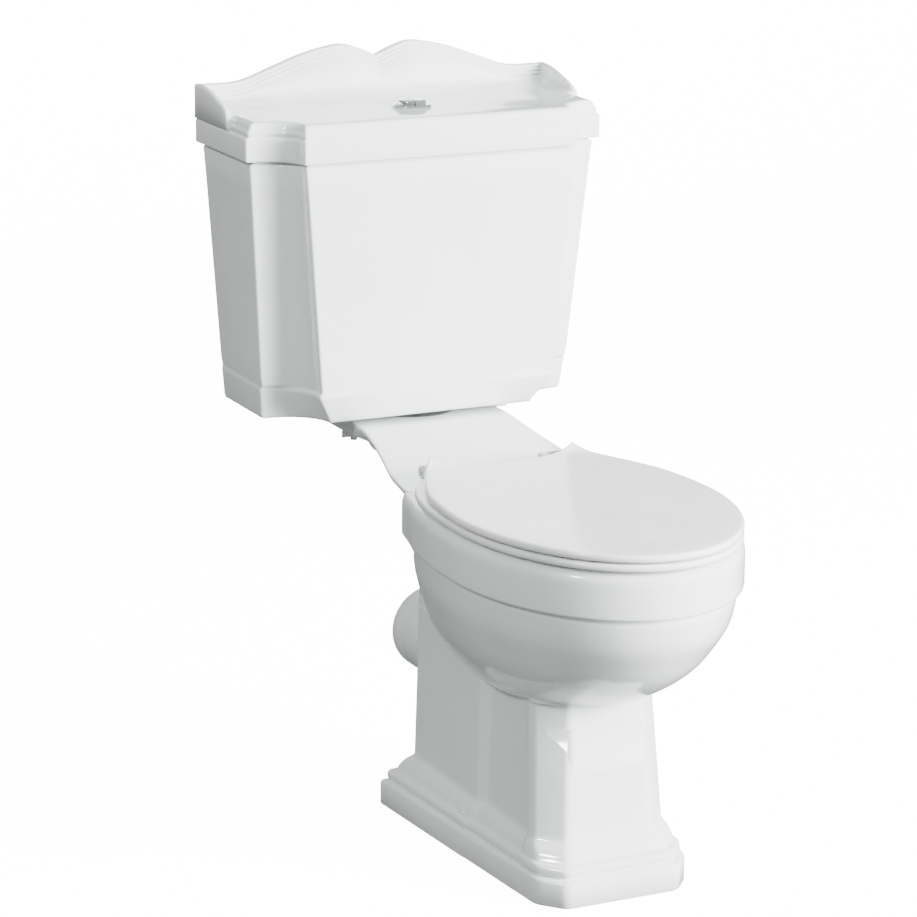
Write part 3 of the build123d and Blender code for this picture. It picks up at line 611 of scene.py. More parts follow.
@dataclass
class CisternCover:
    """China lid with a moulded edge, a reeded upstand and forward-reaching ends."""

    plan: ScoopedPlan = ScoopedPlan(225.0, 155.0, 171.0, 199.0)
    bottom_z: float = 735.6
    top_z: float = 780.0
    roof_z: float = 770.0
    wall: float = 14.0
    end_z: float = 804.0
    reed: float = 4.2
    hole_d: float = 112.0
    hole_r: float = 20.0
    wing_foot: float = 26.0
    wing_lip: float = 7.0
    swell: tuple[Point, ...] = ((0.0, 826.0), (21.0, 835.0), (43.0, 841.0), (71.0, 837.5),
                                (97.0, 831.0), (134.0, 818.0), (163.0, 807.5), (182.0, 804.0),
                                (225.0, 804.0))
    wing_rise: tuple[Point, ...] = ((0.0, 803.8), (20.0, 804.0), (40.0, 801.5), (66.0, 795.0),
                                    (88.0, 787.5), (96.0, 781.0), (100.0, 771.0))

    def moulding(self) -> list[Point]:
        """Edge profile as (inset, height), from the bottom of the fascia to the flat top."""
        bead = [(4.6 - 1.6 * math.sin(math.pi * k / 6), 764.2 + 7.2 * k / 6) for k in range(7)]
        ovolo = [(6.0 + 8.0 * (1 - math.cos(math.pi / 2 * k / 6)), 772.4 + 7.6 * math.sin(math.pi / 2 * k / 6))
                 for k in range(7)]
        fascia = [(2.0, self.bottom_z), (0.4, self.bottom_z + 0.7), (0.0, self.bottom_z + 2.4),
                  (0.0, 760.0), (0.5, 762.4), (2.2, 763.6)]
        return fascia + bead + ovolo + [(18.0, self.top_z), (26.0, self.top_z)]

    def slab(self, shell: Shell) -> None:
        """The lid itself, hollow underneath."""
        inner = self.plan.inset(self.wall)
        under = [(inner.inset(12.0).outline(self.wall + 14.0), self.roof_z),
                 (inner.inset(4.0).outline(self.wall + 6.0), self.roof_z),
                 (inner.outline(self.wall + 2.0), self.roof_z - 4.0),
                 (inner.outline(self.wall + 2.0), self.bottom_z + 2.0),
                 (inner.inset(-1.5).outline(self.wall), self.bottom_z)]
        over = [(self.plan.inset(inset).outline(0.0 if z < 779.9 else inset), z)
                for inset, z in self.moulding()]
        edge = over[-1][0]
        below = [(self.round_hole(edge, r), z) for r, z in ((0.0, 770.6), (0.4, 770.1), (1.4, 770.0))]
        above = [(self.round_hole(edge, r), z) for r, z in ((1.4, 780.0), (0.4, 779.9), (0.0, 779.4))]
        shell.plans(below + under + over + above, caps=False)
        ends = [line for line in shell.mesh.edges if line.is_boundary]
        bmesh.ops.bridge_loops(shell.mesh, edges=ends)

    def round_hole(self, outline: Sequence[Point], grow: float) -> list[Point]:
        """Circle round the button hole, with one point towards each point of the outline."""
        points = []
        for x, d in outline:
            share = (self.hole_r + grow) / math.hypot(x, d - self.hole_d)
            points.append((x * share, self.hole_d + (d - self.hole_d) * share))
        return points

    def upstand_section(self, x: float) -> list[Vector]:
        """Section of the upstand across the lid at one distance from the centre."""
        top = smooth_value(self.swell, abs(x))[0]
        points = [(0.4, 764.0), (0.4, 790.0), (0.4, top - 4.0), (1.4, top - 1.4), (3.8, top - 0.2),
                  (7.5, top)]
        face = 9.5
        for k in range(3):
            start = top - 0.6 - k * self.reed
            for step in range(1, 7):
                turn = math.pi * step / 6
                points.append((face + 2.3 * math.sin(turn), start - self.reed * step / 6))
            face += 2.4
        low = top - 1.0 - 3 * self.reed
        foot = min(low - 1.5, 794.0)
        points.append((face + 2.6, low - 0.4))
        points.append((face + 4.0, foot))
        for k in range(1, 9):
            turn = math.pi / 2 * k / 8
            points.append((face + 4.0 + 34.0 * (1 - math.cos(turn)),
                           foot - (foot - self.top_z + 0.2) * math.sin(turn)))
        points += [(72.0, self.top_z - 0.3), (74.0, 776.0), (74.0, 764.0)]
        return [place(x, d, z) for d, z in points]

    def upstand(self, shell: Shell) -> None:
        """Back of the lid: two swells with a dip between them."""
        edge = self.plan.half
        stations = [-edge + 0.3, -edge + 0.8, -edge + 2.0]
        stations += [(-edge + 2.0) + (2 * edge - 4.0) * k / 110 for k in range(1, 110)]
        stations += [edge - 2.0, edge - 0.8, edge - 0.3]
        shell.loft([self.upstand_section(x) for x in stations])

    def wing_section(self, side: int, d: float) -> list[Vector]:
        """Section of one forward-reaching end at a distance from the wall."""
        high = smooth_value(self.wing_rise, d)[0]
        share = min(1.0, max(0.0, (high - 771.0) / (self.end_z - 771.0)))
        edge = self.plan.half
        lip = self.wing_lip
        foot_x = edge - lip - (self.wing_foot - lip) * (0.45 + 0.55 * share)
        foot_z = min(self.top_z - 0.3, high - 1.0)
        points = [(edge, 764.0), (edge, high - 4.0), (edge - 0.7, high - 1.6), (edge - 2.2, high - 0.3),
                  (edge - 4.2, high), (edge - lip + 0.8, high - 0.6)]
        for k in range(9):
            turn = math.pi / 2 * k / 8
            points.append((lerp(edge - lip, foot_x, 1 - math.cos(turn)),
                           lerp(high - 1.8, foot_z, math.sin(turn))))
        points += [(foot_x - 4.0, foot_z - 0.3), (foot_x - 4.0, 764.0)]
        return [place(side * x, d, z) for x, z in points]

    def wings(self, shell: Shell) -> None:
        """Both ends of the upstand, which come forwards along the sides."""
        stations = [0.3, 1.0, 3.0] + [3.0 + 85.0 * k / 24 for k in range(1, 25)]
        stations += [90.0, 92.0, 94.0, 95.5, 97.0, 98.2, 99.2, 100.0]
        for side in (-1, 1):
            shell.loft([self.wing_section(side, d) for d in stations])

    def ribs(self, shell: Shell) -> None:
        """Ribs underneath that keep the lid in place."""
        for side in (-1, 1):
            low = place(side * 196.0, 115.0, 725.0)
            high = place(side * 203.0, 45.0, self.roof_z + 1.0)
            shell.block(low, high, 1.5)

    def build(self, finishes: Finishes) -> None:
        """Makes the whole lid."""
        shell = Shell()
        self.slab(shell)
        self.upstand(shell)
        self.wings(shell)
        self.ribs(shell)
        shell.piece("cistern_cover", Body.COVER, ["cistern_lid"], "glazed_china",
                    finishes["glazed_china"])


@dataclass
class PushButton:
    """Chrome surround and split button in the lid."""

    centre_d: float = 112.0
    lid_z: float = 780.0
    flange_r: float = 23.5
    barrel_r: float = 19.6
    button_r: float = 17.2
    button_z: float = 789.0
    split_x: float = -3.0

    def surround(self, finishes: Finishes) -> None:
        """Flange with a rolled edge and the cup below it."""
        profile = [(0.0, -32.0), (15.0, -32.0), (self.barrel_r - 0.6, -32.0), (self.barrel_r, -31.0),
                   (self.barrel_r, 0.0), (self.flange_r - 0.6, 0.0), (self.flange_r, 0.5),
                   (self.flange_r, 1.4), (self.flange_r - 0.8, 2.4), (self.flange_r - 2.2, 3.0),
                   (19.2, 3.0), (18.2, 2.6), (17.8, 1.6), (17.75, -29.0), (16.0, -29.0), (0.0, -29.0)]
        shell = Shell().spin(profile, place(0, self.centre_d, self.lid_z), Vector((0, 0, 1)), 96)
        shell.piece("button_surround", Body.COVER, ["button_bezel"], "chrome", finishes["chrome"])

    def half(self, side: int, body: Body, node: str, finishes: Finishes) -> None:
        """One half of the split button, slightly domed.

        Args:
            side: +1 for the larger, full flush half.
            body: the body it rides on.
            node: the CAD node it stands for.
            finishes: the materials.
        """
        rise = self.button_z - self.lid_z
        r = self.button_r
        profile = [(0.0, -4.0), (8.0, -4.0), (r - 0.5, -4.0), (r, -3.4), (r, rise - 2.6),
                   (r - 0.4, rise - 1.7), (r - 1.4, rise - 1.1), (r - 3.0, rise - 0.8),
                   (10.0, rise - 0.3), (5.0, rise - 0.05), (0.0, rise)]
        shell = Shell().spin(profile, place(0, self.centre_d, self.lid_z), Vector((0, 0, 1)), 96)
        cut = place(self.split_x + side * 0.5, self.centre_d, self.lid_z)
        mesh = shell.mesh
        found = bmesh.ops.bisect_plane(mesh, geom=mesh.verts[:] + mesh.edges[:] + mesh.faces[:],
                                       plane_co=cut, plane_no=Vector((-side, 0, 0)), clear_outer=True)
        edges = [g for g in found["geom_cut"] if isinstance(g, bmesh.types.BMEdge)]
        filled = bmesh.ops.edgeloop_fill(mesh, edges=edges)["faces"]
        rim = list({edge for face in filled for edge in face.edges})
        bmesh.ops.bevel(mesh, geom=rim, offset=0.5 * MM, segments=2, profile=0.5, affect="EDGES",
                        material=-1)
        shell.piece("button_" + node, body, [node], "chrome", finishes["chrome"])

    def coil(self, x: float, node: str, joint: str, finishes: Finishes) -> None:
        """Coiled return spring under one half."""
        curve = bpy.data.curves.new("coil_" + node, "CURVE")
        curve.dimensions = "3D"
        curve.bevel_depth = 0.55 * MM
        curve.bevel_resolution = 3
        curve.use_fill_caps = True
        line = curve.splines.new("POLY")
        turns, steps = 7, 20
        low, high = self.lid_z - 28.4, self.lid_z - 4.6
        line.points.add(turns * steps)
        for k, spot in enumerate(line.points):
            turn = 2 * math.pi * k / steps
            share = k / (turns * steps)
            centre = place(x + 4.3 * math.cos(turn), self.centre_d + 4.3 * math.sin(turn),
                           lerp(low, high, share))
            spot.co = (*centre, 1.0)
        temporary = bpy.data.objects.new("coil_line", curve)
        bpy.context.scene.collection.objects.link(temporary)
        mesh = bpy.data.meshes.new_from_object(temporary.evaluated_get(
            bpy.context.evaluated_depsgraph_get()))
        bpy.data.objects.remove(temporary)
        shell = Shell()
        shell.mesh.from_mesh(mesh)
        coil = shell.piece("coil_" + node, Body.COVER, [node], "spring_steel",
                           finishes["spring_steel"])
        place(x, self.centre_d, self.lid_z - 29.0)
        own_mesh(coil)

    def build(self, finishes: Finishes) -> None:
        """Makes the surround, both halves and both springs."""
        self.surround(finishes)
        self.half(1, Body.FULL_BUTTON, "full_flush_button", finishes)
        self.half(-1, Body.HALF_BUTTON, "half_flush_button", finishes)
        self.coil(8.0, "full_flush_spring", "full_flush_press", finishes)
        self.coil(-10.5, "half_flush_spring", "half_flush_press", finishes)


# ---------------------------------------------------------------- pan


@dataclass
class Pan:
    """China pan: rim, bowl, neck and shelf, foot and outlet."""

    top_z: float = 399.0
    step_z: float = 349.0
    front_d: float = 774.0
    half: float = 157.0
    widest_d: float = 556.0
    deck_d: float = 366.0
    rear_d: float = 305.0
    side_line: tuple[Point, ...] = ((366.0, 126.0), (372.0, 130.0), (398.0, 136.5), (440.0, 147.0),
                                    (500.0, 155.5), (556.0, 157.0))
    hull: tuple[tuple[float, ...], ...] = (
        (349.0, 556.0, 148.0, 209.0, 288.0), (340.0, 556.0, 149.0, 211.5, 288.0), (312.0, 549.0, 146.0, 211.0, 285.0),
        (288.0, 541.0, 138.0, 202.0, 275.0), (262.0, 529.0, 127.0, 190.0, 262.0),
        (241.0, 515.0, 114.0, 175.0, 238.0), (222.0, 505.0, 99.0, 149.0, 206.0),
        (206.0, 500.0, 81.0, 114.0, 150.0), (196.0, 500.0, 55.0, 75.0, 90.0))
    cavity: tuple[tuple[float, ...], ...] = (
        (375.0, 566.0, 134.0, 186.0, 168.0), (330.0, 560.0, 131.0, 184.0, 160.0),
        (285.0, 548.0, 119.0, 170.0, 140.0), (250.0, 532.0, 98.0, 142.0, 108.0),
        (226.0, 520.0, 70.0, 98.0, 70.0), (210.0, 512.0, 42.0, 52.0, 42.0),
        (200.0, 512.0, 35.0, 36.0, 35.0), (150.0, 512.0, 34.0, 34.0, 34.0))
    opening: tuple[float, ...] = (574.0, 112.0, 160.0, 135.0)

    def rim_outline(self, inset: float) -> list[Point]:
        """Plan of the rim and deck, smaller all round by the inset."""
        half: list[Point] = []
        side, reach = self.half - inset, self.front_d - inset - self.widest_d
        for k in range(37):
            turn = math.pi / 2 * k / 36
            half.append((side * math.sin(turn), self.widest_d + reach * math.cos(turn)))
        back = self.deck_d + inset
        for k in range(1, 29):
            d = lerp(self.widest_d, back, k / 28)
            half.append((smooth_value(self.side_line, d)[0] - inset, d))
        corner = half[-1][0]
        half += [(corner * (1 - k / 8), back) for k in range(1, 9)]
        return mirrored(half)

    def egg(self, centre: float, half: float, ahead: float, behind: float, stop: float = 0.0) -> list[Point]:
        """Egg-shaped plan, flattened at the back where it would pass the stop."""
        points: list[Point] = []
        for k in range(73):
            turn = math.pi * k / 72
            reach = ahead if k <= 36 else behind
            points.append((half * math.sin(turn), max(stop, centre + reach * math.cos(turn))))
        return mirrored(points)

    def bowl(self, shell: Shell) -> None:
        """Rim, outside of the bowl and inside of the bowl as one skin."""
        heights = [150.0, 175.0] + [float(z) for z in range(200, 371, 6)]
        rings = [(self.egg(*smooth_value(self.cavity, z)), z) for z in heights]
        centre, half, ahead, behind = self.opening
        rings.append((self.egg(566.0, 131.0, 183.0, 165.0), 374.0))
        rings.append((self.egg(570.0, 122.0, 172.0, 150.0), 376.0))
        for grow, z in ((4.0, 374.5), (0.8, 374.6), (0.0, 377.0), (0.0, 391.0), (1.2, 395.5), (4.5, 398.2),
                        (9.0, 399.0), (14.0, 399.0)):
            rings.append((self.egg(centre, half + grow, ahead + grow, behind + grow), z))
        for inset, z in ((17.0, 399.0), (13.0, 399.0), (8.0, 398.2), (4.0, 396.0), (1.4, 392.4), (0.3, 388.0),
                         (0.0, 383.0), (0.0, 370.0), (0.0, 352.5), (0.2, 350.8), (0.8, 349.7), (1.8, 349.2), (5.5, 349.1), (8.5, 348.6)):
            rings.append((self.rim_outline(inset), z))
        for k in range(49):
            z = lerp(self.step_z - 0.1, 196.0, (k / 48) ** 1.15)
            rings.append((self.under_rim(z), z))
        shell.plans(rings)

    def under_rim(self, z: float) -> list[Point]:
        """Plan of the bowl below the rim, whose back corners sweep in more slowly than its front."""
        bowl = self.egg(*smooth_value(self.hull, z), self.rear_d + 2.0)
        corner = self.rim_outline(2.8)
        drop = (self.step_z - z) / 30.0
        swept = min(1.0, max(0.0, drop)) ** 1.6
        out = []
        for (x, d), (rim_x, rim_d) in zip(bowl, corner):
            rear = min(1.0, max(0.0, (470.0 - rim_d) / 50.0))
            keep = (1.0 - swept) * rear * rear * (3 - 2 * rear)
            out.append((lerp(x, rim_x, keep), lerp(d, rim_d, keep)))
        return out

    def foot_keys(self, s: float) -> list[tuple[float, float, float]]:
        """Right half of the foot's plan: s is 0 at the plinth's fascia and 1 at the foot of the pedestal."""
        plinth = [(0, 664, 0), (68, 664, 8), (92, 636, 8), (94, 603, 0), (95, 594, 0), (103, 482, 0),
                  (104, 474, 0), (117, 284, 6), (0, 284, 0)]
        column = [(0, 630, 0), (52, 630, 5), (79, 604, 5), (81, 592, 4), (76, 586, 4), (76, 484, 4),
                  (84, 476, 5), (84, 305, 8), (0, 305, 0)]
        return [tuple(lerp(a, b, s) for a, b in zip(p, c)) for p, c in zip(plinth, column)]

    def pedestal_keys(self, t: float) -> list[tuple[float, float, float]]:
        """Right half of the pedestal's plan: t is 0 at its foot and 1 where it meets the bowl."""
        foot = self.foot_keys(1.0)
        head = [(0, 614, 0), (43.5, 614, 5), (72, 588, 5), (75, 578, 4), (71, 573, 4), (71, 484, 4),
                (80, 476, 5), (80, 305, 8), (0, 305, 0)]
        return [tuple(lerp(a, b, t) for a, b in zip(p, h)) for p, h in zip(foot, head)]

    def flared_keys(self, grow: float) -> list[tuple[float, float, float]]:
        """Plan of the capital, pushed out at the front and sides of the column."""
        keys = self.pedestal_keys(1.0)
        share = (1.0, 1.0, 0.55, 0.2)
        return [(x + grow * 0.5 * share[i] * (x > 0), d + grow * share[i], r) if i < 4 else (x, d, r)
                for i, (x, d, r) in enumerate(keys)]

    def foot(self, shell: Shell) -> None:
        """Stepped plinth and pedestal, hollow underneath."""
        wall = [(x * 0.84, lerp(d, 470.0, 0.05), r) for x, d, r in self.pedestal_keys(0.0)]
        hollow = [([(x * 0.8, lerp(d, 470, 0.06), r) for x, d, r in wall], 188.0), (wall, 184.0), (wall, 40.0),
                  (wall, 1.5), ([(x * 1.02, d, r) for x, d, r in wall], 0.0)]
        profile = [(0.05, 0.0), (0.0, 1.5), (0.0, 26.5), (0.04, 29.0), (0.14, 30.2), (0.24, 30.4), (0.27, 31.4),
                   (0.215, 33.4), (0.20, 36.5), (0.215, 39.6), (0.27, 42.2), (0.38, 43.4), (0.46, 43.8),
                   (0.50, 45.2), (0.55, 49.0), (0.64, 53.5), (0.78, 58.0), (0.92, 61.0), (1.0, 64.0)]
        rows = [(keys, z) for keys, z in hollow] + [(self.foot_keys(s), z) for s, z in profile]
        rows += [(self.pedestal_keys(t / 24), lerp(64.0, 208.0, t / 24)) for t in range(1, 25)]
        rows += [(self.flared_keys(g), z) for g, z in ((0.0, 209.5), (1.2, 210.6), (5.5, 211.4), (6.5, 212.4),
                                                       (7.0, 213.6), (7.0, 215.4), (6.0, 216.6),
                                                       (13.0, 229.0), (20.0, 241.0), (4.0, 243.0))]
        shell.plans([(mirrored(soften(keys)), z) for keys, z in rows])

    def back(self, shell: Shell) -> None:
        """Upright back of the pan between the foot and the deck."""
        def keys(half: float, ahead: float) -> list[Point]:
            behind = self.rear_d - 0.4
            return mirrored(soften([(0, ahead, 0), (half, ahead, 4), (half, behind, 8), (0, behind, 0)]))
        rows = [(70.0, 466.0, 200.0), (80.0, 474.0, 203.0), (79.5, 474.0, 240.0), (78.5, 470.0, 300.0),
                (78.0, 470.0, 345.0), (72.0, 465.0, 378.0), (60.0, 450.0, 381.0)]
        shell.plans([(keys(half, ahead), z) for half, ahead, z in rows])

    def neck(self, shell: Shell) -> None:
        """Shelf that carries the cistern, sloping down to the deck."""
        stations = ((52.0, 92.0, 420.0, 406.0), (53.5, 95.0, 421.6, 404.6), (56.0, 96.0, 422.0, 404.0),
                    (110.0, 96.0, 422.0, 404.0), (165.0, 96.0, 422.0, 403.5), (185.0, 96.0, 421.6, 402.0),
                    (200.0, 97.2, 419.8, 400.0), (230.0, 101.0, 414.3, 394.5), (262.0, 106.8, 408.0, 388.2),
                    (290.0, 112.5, 402.4, 382.4), (306.0, 115.8, 399.8, 379.8),
                    (330.0, 120.0, 399.0, 379.0), (366.0, 126.5, 399.0, 377.0), (384.0, 127.0, 398.9, 376.0))
        rings = []
        for k in range(61):
            d = lerp(52.0, 384.0, k / 60) if k > 4 else (52.0, 52.4, 53.2, 54.4, 56.0)[k]
            half, top, low = smooth_value(stations, d)
            slope = 26.0 * min(1.0, max(0.0, (d - 150.0) / 80.0))
            right = soften([(0, top, 0), (half, top, 5), (half - 1.5 - 0.1 * slope, top - 9.0, 4),
                            (half - 2.0 - slope, low, 5), (0, low, 0)], 6)
            rings.append([place(x, d, z) for x, z in mirrored(right)])
        shell.loft(rings)

    def duct(self, shell: Shell) -> None:
        """Casing of the flush way under the shelf and neck."""
        rings = []
        for k in range(21):
            d = lerp(66.0, 330.0, k / 20)
            half = 42.0 - 6.0 * max(0.0, 1 - k / 1.5)
            low = 366.0 + 5.0 * max(0.0, 1 - k / 1.5)
            top = 406.0 if d < 190.0 else 386.0
            right = soften([(0, top, 0), (half, top, 0), (half, low, 12), (0, low, 0)], 6)
            rings.append([place(x, d, z) for x, z in mirrored(right)])
        shell.loft(rings)

    def outlet(self, shell: Shell) -> None:
        """Round waste outlet with a thickened end."""
        profile = [(0.0, 120.0), (30.0, 120.0), (34.0, 118.0), (42.0, 60.0), (42.0, 2.0), (43.5, 0.4), (45.5, 0.0),
                   (48.5, 0.5), (50.4, 2.2), (51.0, 5.0), (51.0, 20.0), (50.2, 23.0), (49.8, 27.0),
                   (49.8, 110.0), (50.5, 122.0), (54.0, 132.0), (56.0, 140.0), (40.0, 142.0), (0.0, 142.0)]
        axis = Vector((0, -1, 0))
        shell.spin(profile, place(0, 172.0, 168.0), axis, 72)

    def fixings(self, shell: Shell) -> None:
        """Countersunk mouth of the floor fixing on each side of the plinth."""
        profile = [(0.0, -0.6), (3.0, -0.6), (3.4, 0.6), (4.6, 1.9), (5.8, 2.2), (7.0, 1.6), (8.2, -0.4),
                   (8.6, -3.0), (0.0, -3.0)]
        for side in (-1, 1):
            shell.spin(profile, place(side * 97.0, 456.0, 43.4), Vector((side * 0.75, 0.0, 0.66)), 32)

    def build(self, finishes: Finishes) -> None:
        """Makes the whole pan."""
        shell = Shell()
        self.bowl(shell)
        self.foot(shell)
        self.back(shell)
        self.neck(shell)
        self.duct(shell)
        self.outlet(shell)
        self.fixings(shell)
        shell.piece("china_pan", Body.PAN, ["pan"], "glazed_china", finishes["glazed_china"])


# ---------------------------------------------------------------- seat


@dataclass
class Seat:
    """Seat ring and lid with their hinge ears."""

    front_d: float = 776.0
    hinge_d: float = 342.0
    hinge_z: float = 408.0
    knuckle_r: float = 7.6
    bore_r: float = 4.0
    ring_low: float = 401.5
    ring_high: float = 409.8
    lid_low: float = 411.6
    lid_high: float = 420.0
    tip_z: float = 429.0
    tip: Point = (90.0, 355.0)
    side_line: tuple[Point, ...] = ((776.0, 0.0), (772.5, 26.0), (763.0, 49.0), (730.0, 88.0),
                                    (692.0, 117.0), (648.0, 136.0), (605.0, 148.0), (560.0, 153.5),
                                    (520.0, 151.0), (467.0, 142.0), (413.0, 121.0), (378.0, 105.0),
                                    (355.0, 90.0))

    def lid_outline(self, inset: float = 0.0) -> list[Point]:
        """Plan of the lid: an oval with a hollowed back edge between two points."""
        half = [(0.0, self.front_d - inset)]
        for k in range(1, 61):
            share = k / 60
            turn = math.pi / 2 * min(1.0, share * 2)
            if share <= 0.5:
                x = (153.5 - inset) * math.sin(turn)
                d = 560.0 + (self.front_d - inset - 560.0) * math.cos(turn) ** 1.02
            else:
                d = lerp(560.0, self.tip[1] + inset * 0.8, share * 2 - 1)
                x = smooth_value(self.side_line[7:], d)[0] - inset
            half.append((x, d))
        for k in range(1, 21):
            x = (self.tip[0] - inset) * (1 - k / 20)
            hollow = 1 - (x / self.tip[0]) ** 2
            half.append((x, self.tip[1] + inset + 19.0 * hollow))
        return mirrored(half)

    def ring_outline(self, inset: float) -> list[Point]:
        """Plan of the ring, fuller than the lid behind its widest place."""
        half = []
        for k in range(41):
            turn = math.pi / 2 * k / 40
            half.append(((153.0 - inset) * math.sin(turn),
                         560.0 + (self.front_d - 0.5 - inset - 560.0) * math.cos(turn)))
        side = ((374.0, 108.0), (384.0, 118.0), (420.0, 136.0), (465.0, 148.0), (515.0, 153.0),
                (560.0, 153.0))
        for k in range(1, 31):
            d = lerp(560.0, 374.0 + inset, k / 30)
            half.append((smooth_value(side, d)[0] - inset, d))
        corner = half[-1][0]
        half += [(corner * (1 - k / 10), 374.0 + inset) for k in range(1, 11)]
        return mirrored(half)

    def lift(self, x: float, d: float) -> float:
        """How far the back corners curl up at a point."""
        away = math.hypot((abs(x) - self.tip[0]) * 0.8, d - self.tip[1])
        return max(0.0, 1 - away / 34.0) ** 2

    def lid(self, finishes: Finishes) -> None:
        """Lid with a rounded edge, a gently crowned top and curled back corners."""
        curl = self.tip_z - self.lid_high
        rows = [(12.0, self.lid_low + 1.8, 0.0), (8.0, self.lid_low + 1.6, 0.0), (5.0, self.lid_low + 0.2, 0.1),
                (2.6, self.lid_low, 0.2), (0.9, self.lid_low + 0.8, 0.3), (0.0, self.lid_low + 2.8, 0.5),
                (0.0, self.lid_low + 4.6, 0.8), (0.6, self.lid_high - 1.5, 0.95), (1.9, self.lid_high - 0.4, 1.0),
                (4.0, self.lid_high, 0.85), (8.0, self.lid_high + 0.3, 0.5), (12.0, self.lid_high + 0.5, 0.2)]
        rings = []
        for inset, z, share in rows:
            rings.append([place(x, d, z + curl * share * self.lift(x, d))
                          for x, d in self.lid_outline(inset)])
        edge = self.lid_outline(12.0)
        for k in range(1, 12):
            scale = 1 - k / 12
            rings.append([place(x * scale, 560 + (d - 560) * scale,
                                self.lid_high + 0.5 + 1.8 * (1 - scale**2)) for x, d in edge])
        shell = Shell().loft(rings)
        self.ears(shell, (83.4, 93.0), (self.tip[1] + 9.0), (self.hinge_z + 1.0, self.lid_high - 2.0))
        shell.piece("seat_cover", Body.SEAT_LID, ["seat_lid"], "seat_plastic", finishes["seat_plastic"])

    def ring(self, finishes: Finishes) -> None:
        """Ring with rounded edges outside and inside."""
        low, high = self.ring_low, self.ring_high

        def eye(grow: float) -> list[Point]:
            """Plan of the opening, with as many points as the outside."""
            outline = Pan().egg(566.0, 96.0 + grow, 150.0 + grow, 118.0 + grow)
            return [self.pick(outline, k / count) for k in range(count)]

        count = len(self.ring_outline(0.0))
        outside = [(6.0, low), (3.0, low + 0.1), (1.0, low + 0.8), (0.0, low + 3.0), (0.0, high - 3.2),
                   (0.9, high - 1.2), (2.6, high - 0.3), (5.0, high)]
        inside = [(12.0, high - 0.1), (7.0, high - 0.4), (3.0, high - 1.8), (0.8, high - 3.8), (0.0, high - 5.4),
                  (0.6, low + 1.2), (3.0, low + 0.2), (6.0, low + 0.1)]
        plans = [(self.ring_outline(i), z) for i, z in outside] + [(eye(i), z) for i, z in inside]
        rings = [[place(x, d, z) for x, d in plan] for plan, z in plans]
        shell = Shell().loft(rings, caps=False)
        ends = [edge for edge in shell.mesh.edges if edge.is_boundary]
        bmesh.ops.bridge_loops(shell.mesh, edges=ends)
        self.ears(shell, (56.0, 66.6), 380.0, (self.hinge_z - 6.0, high - 0.4))
        shell.piece("seat_loop", Body.SEAT_RING, ["seat_ring"], "seat_plastic", finishes["seat_plastic"])

    @staticmethod
    def pick(outline: Sequence[Point], share: float) -> Point:
        """Point part of the way round a closed outline, by share of its points."""
        spot = share * len(outline)
        a = outline[int(spot) % len(outline)]
        b = outline[(int(spot) + 1) % len(outline)]
        t = spot - int(spot)
        return lerp(a[0], b[0], t), lerp(a[1], b[1], t)

    def ears(self, shell: Shell, x_pair: Point, web_d: float, web_z: Point) -> None:
        """Round hinge ears on both sides and the webs that join them on."""
        for side in (-1, 1):
            start = place(side * x_pair[0], self.hinge_d, self.hinge_z)
            width = x_pair[1] - x_pair[0]
            r, bore = self.knuckle_r, self.bore_r
            profile = [(bore, 0.0), (bore, width), (r - 0.8, width), (r, width - 0.8), (r, 0.8), (r - 0.8, 0.0),
                       (bore, 0.0)]
            shell.spin(profile, start, Vector((side, 0, 0)), 40)
            shell.block(place(side * x_pair[0], web_d, web_z[0]),
                        place(side * x_pair[1], self.hinge_d + bore + 0.6, web_z[1]), 0.8)

    def build(self, finishes: Finishes) -> None:
        """Makes the ring and the lid."""
        self.ring(finishes)
        self.lid(finishes)


# ---------------------------------------------------------------- fittings


@dataclass
class Fittings:
    """Pieces kept from the shared frame, each with its finish."""

    slots: dict[str, str] = field(default_factory=lambda: {
        row["node"]: row["material_slot"] for row in frame["record"]["subparts"]})

    def build(self, finishes: Finishes) -> None:
        """Dresses every node that is still shown."""
        for node, slot in self.slots.items():
            if not frame["nodes"][node].hide_render:
                finishes.dress(node, slot)


# ---------------------------------------------------------------- studio


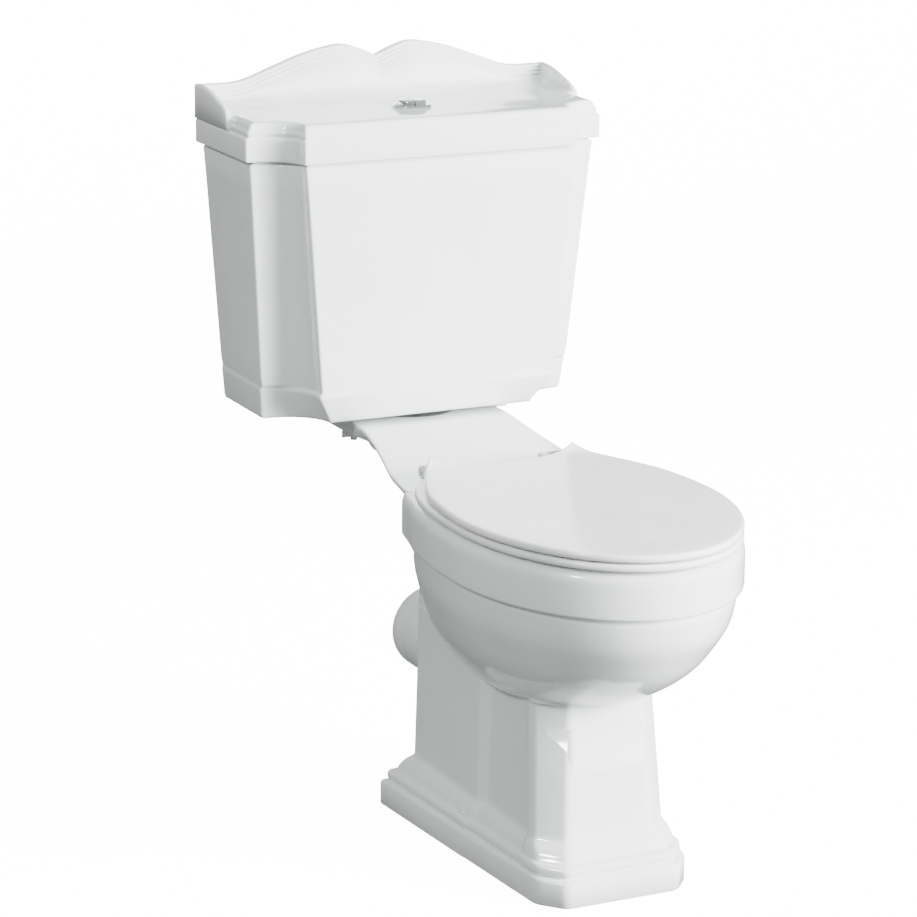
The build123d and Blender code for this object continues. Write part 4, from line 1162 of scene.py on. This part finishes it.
@dataclass
class Studio:
    """Floor, backdrop, lights and camera."""

    lens: float = 137.4
    roll: float = 0.5
    floor_glow: float = 14.0
    eye: Vector = field(default_factory=lambda: Vector((-1.6893, -3.3689, 1.4302)))
    target: Vector = field(default_factory=lambda: Vector((-0.0246, 0.0910, 0.4058)))

    def backdrop(self) -> None:
        """Pale floor that curves up into a wall, lit enough to read as white."""
        g = Graph("studio_white")
        g.shade(base_color=(0.9, 0.9, 0.9, 1.0), roughness=0.7, emission_color=(1, 1, 1, 1),
                emission_strength=self.floor_glow)
        mesh = bmesh.new()
        line = [(-30.0, 0.0), (2.4, 0.0)]
        line += [(2.4 + 1.2 * math.sin(math.pi / 2 * k / 10), 1.2 - 1.2 * math.cos(math.pi / 2 * k / 10))
                 for k in range(1, 11)]
        line.append((3.6, 12.0))
        verts = [mesh.verts.new((-30.0, y, z - 0.0005)) for y, z in line]
        edges = [mesh.edges.new(pair) for pair in zip(verts, verts[1:])]
        moved = bmesh.ops.extrude_edge_only(mesh, edges=edges)["geom"]
        bmesh.ops.translate(mesh, verts=[v for v in moved if isinstance(v, bmesh.types.BMVert)],
                            vec=Vector((60.0, 0, 0)))
        for face in mesh.faces:
            face.smooth = True
        data = bpy.data.meshes.new("studio_floor")
        mesh.to_mesh(data)
        mesh.free()
        data.materials.append(g.material)
        floor = bpy.data.objects.new("studio_floor", data)
        bpy.context.scene.collection.objects.link(floor)
        floor.visible_diffuse = False
        floor.visible_glossy = False

    def light(self, name: str, spot: Sequence[float], size: Sequence[float], watts: float,
              seen: bool = True) -> None:
        """Adds one rectangular soft light aimed at the toilet, seen in its glaze or not."""
        lamp = bpy.data.lights.new(name, "AREA")
        lamp.shape = "RECTANGLE"
        lamp.size, lamp.size_y = size
        lamp.energy = watts
        obj = bpy.data.objects.new(name, lamp)
        obj.location = spot
        aim = Vector((0.0, 0.0, 0.45))
        obj.rotation_euler = (aim - Vector(spot)).to_track_quat("-Z", "Y").to_euler()
        obj.visible_glossy = seen
        bpy.context.scene.collection.objects.link(obj)

    def world(self) -> None:
        """Dim surroundings, brighter above and to the right."""
        world = bpy.data.worlds.new("studio")
        world.use_nodes = True
        tree = world.node_tree
        back = tree.nodes["Background"]
        back.inputs["Color"].default_value = (0.93, 1.0, 0.985, 1.0)
        spot = tree.nodes.new("ShaderNodeTexCoord")
        side = tree.nodes.new("ShaderNodeVectorMath")
        side.operation = "DOT_PRODUCT"
        side.inputs[1].default_value = (0.45, -0.25, 0.85)
        fade = tree.nodes.new("ShaderNodeMapRange")
        for socket, value in (("From Min", -0.6), ("From Max", 0.9), ("To Min", 0.24), ("To Max", 1.02)):
            fade.inputs[socket].default_value = value
        tree.links.new(spot.outputs["Generated"], side.inputs[0])
        tree.links.new(side.outputs["Value"], fade.inputs["Value"])
        tree.links.new(fade.outputs["Result"], back.inputs["Strength"])
        bpy.context.scene.world = world

    def camera(self) -> None:
        """Long lens from the front left."""
        data = bpy.data.cameras.new("camera")
        data.lens = self.lens
        data.sensor_width = 36.0
        obj = bpy.data.objects.new("camera", data)
        obj.location = self.eye
        aim = (self.target - self.eye).to_track_quat("-Z", "Y").to_matrix().to_4x4()
        turn = Matrix.Rotation(math.radians(self.roll), 4, "Z")
        obj.rotation_euler = (aim @ turn).to_euler()
        bpy.context.scene.collection.objects.link(obj)
        bpy.context.scene.camera = obj

    def build(self) -> None:
        """Sets the whole studio."""
        self.backdrop()
        self.world()
        self.light("key", (2.6, -3.2, 1.5), (1.8, 2.2), 1150.0, seen=False)
        self.light("top", (0.5, -0.7, 3.2), (2.0, 1.2), 30.0, seen=False)
        self.light("window", (-3.0, -1.3, 2.7), (0.3, 0.6), 80.0)
        self.camera()


def main() -> None:
    """Builds every part of the toilet in order."""
    logging.basicConfig(level=logging.INFO, format="%(message)s")
    finishes = Finishes()
    for part in (Cistern(), CisternCover(), PushButton(), Pan(), Seat(), Fittings()):
        part.build(finishes)
        LOG.info("built %s", type(part).__name__)
    Studio().build()


if __name__ == "__main__":
    main()
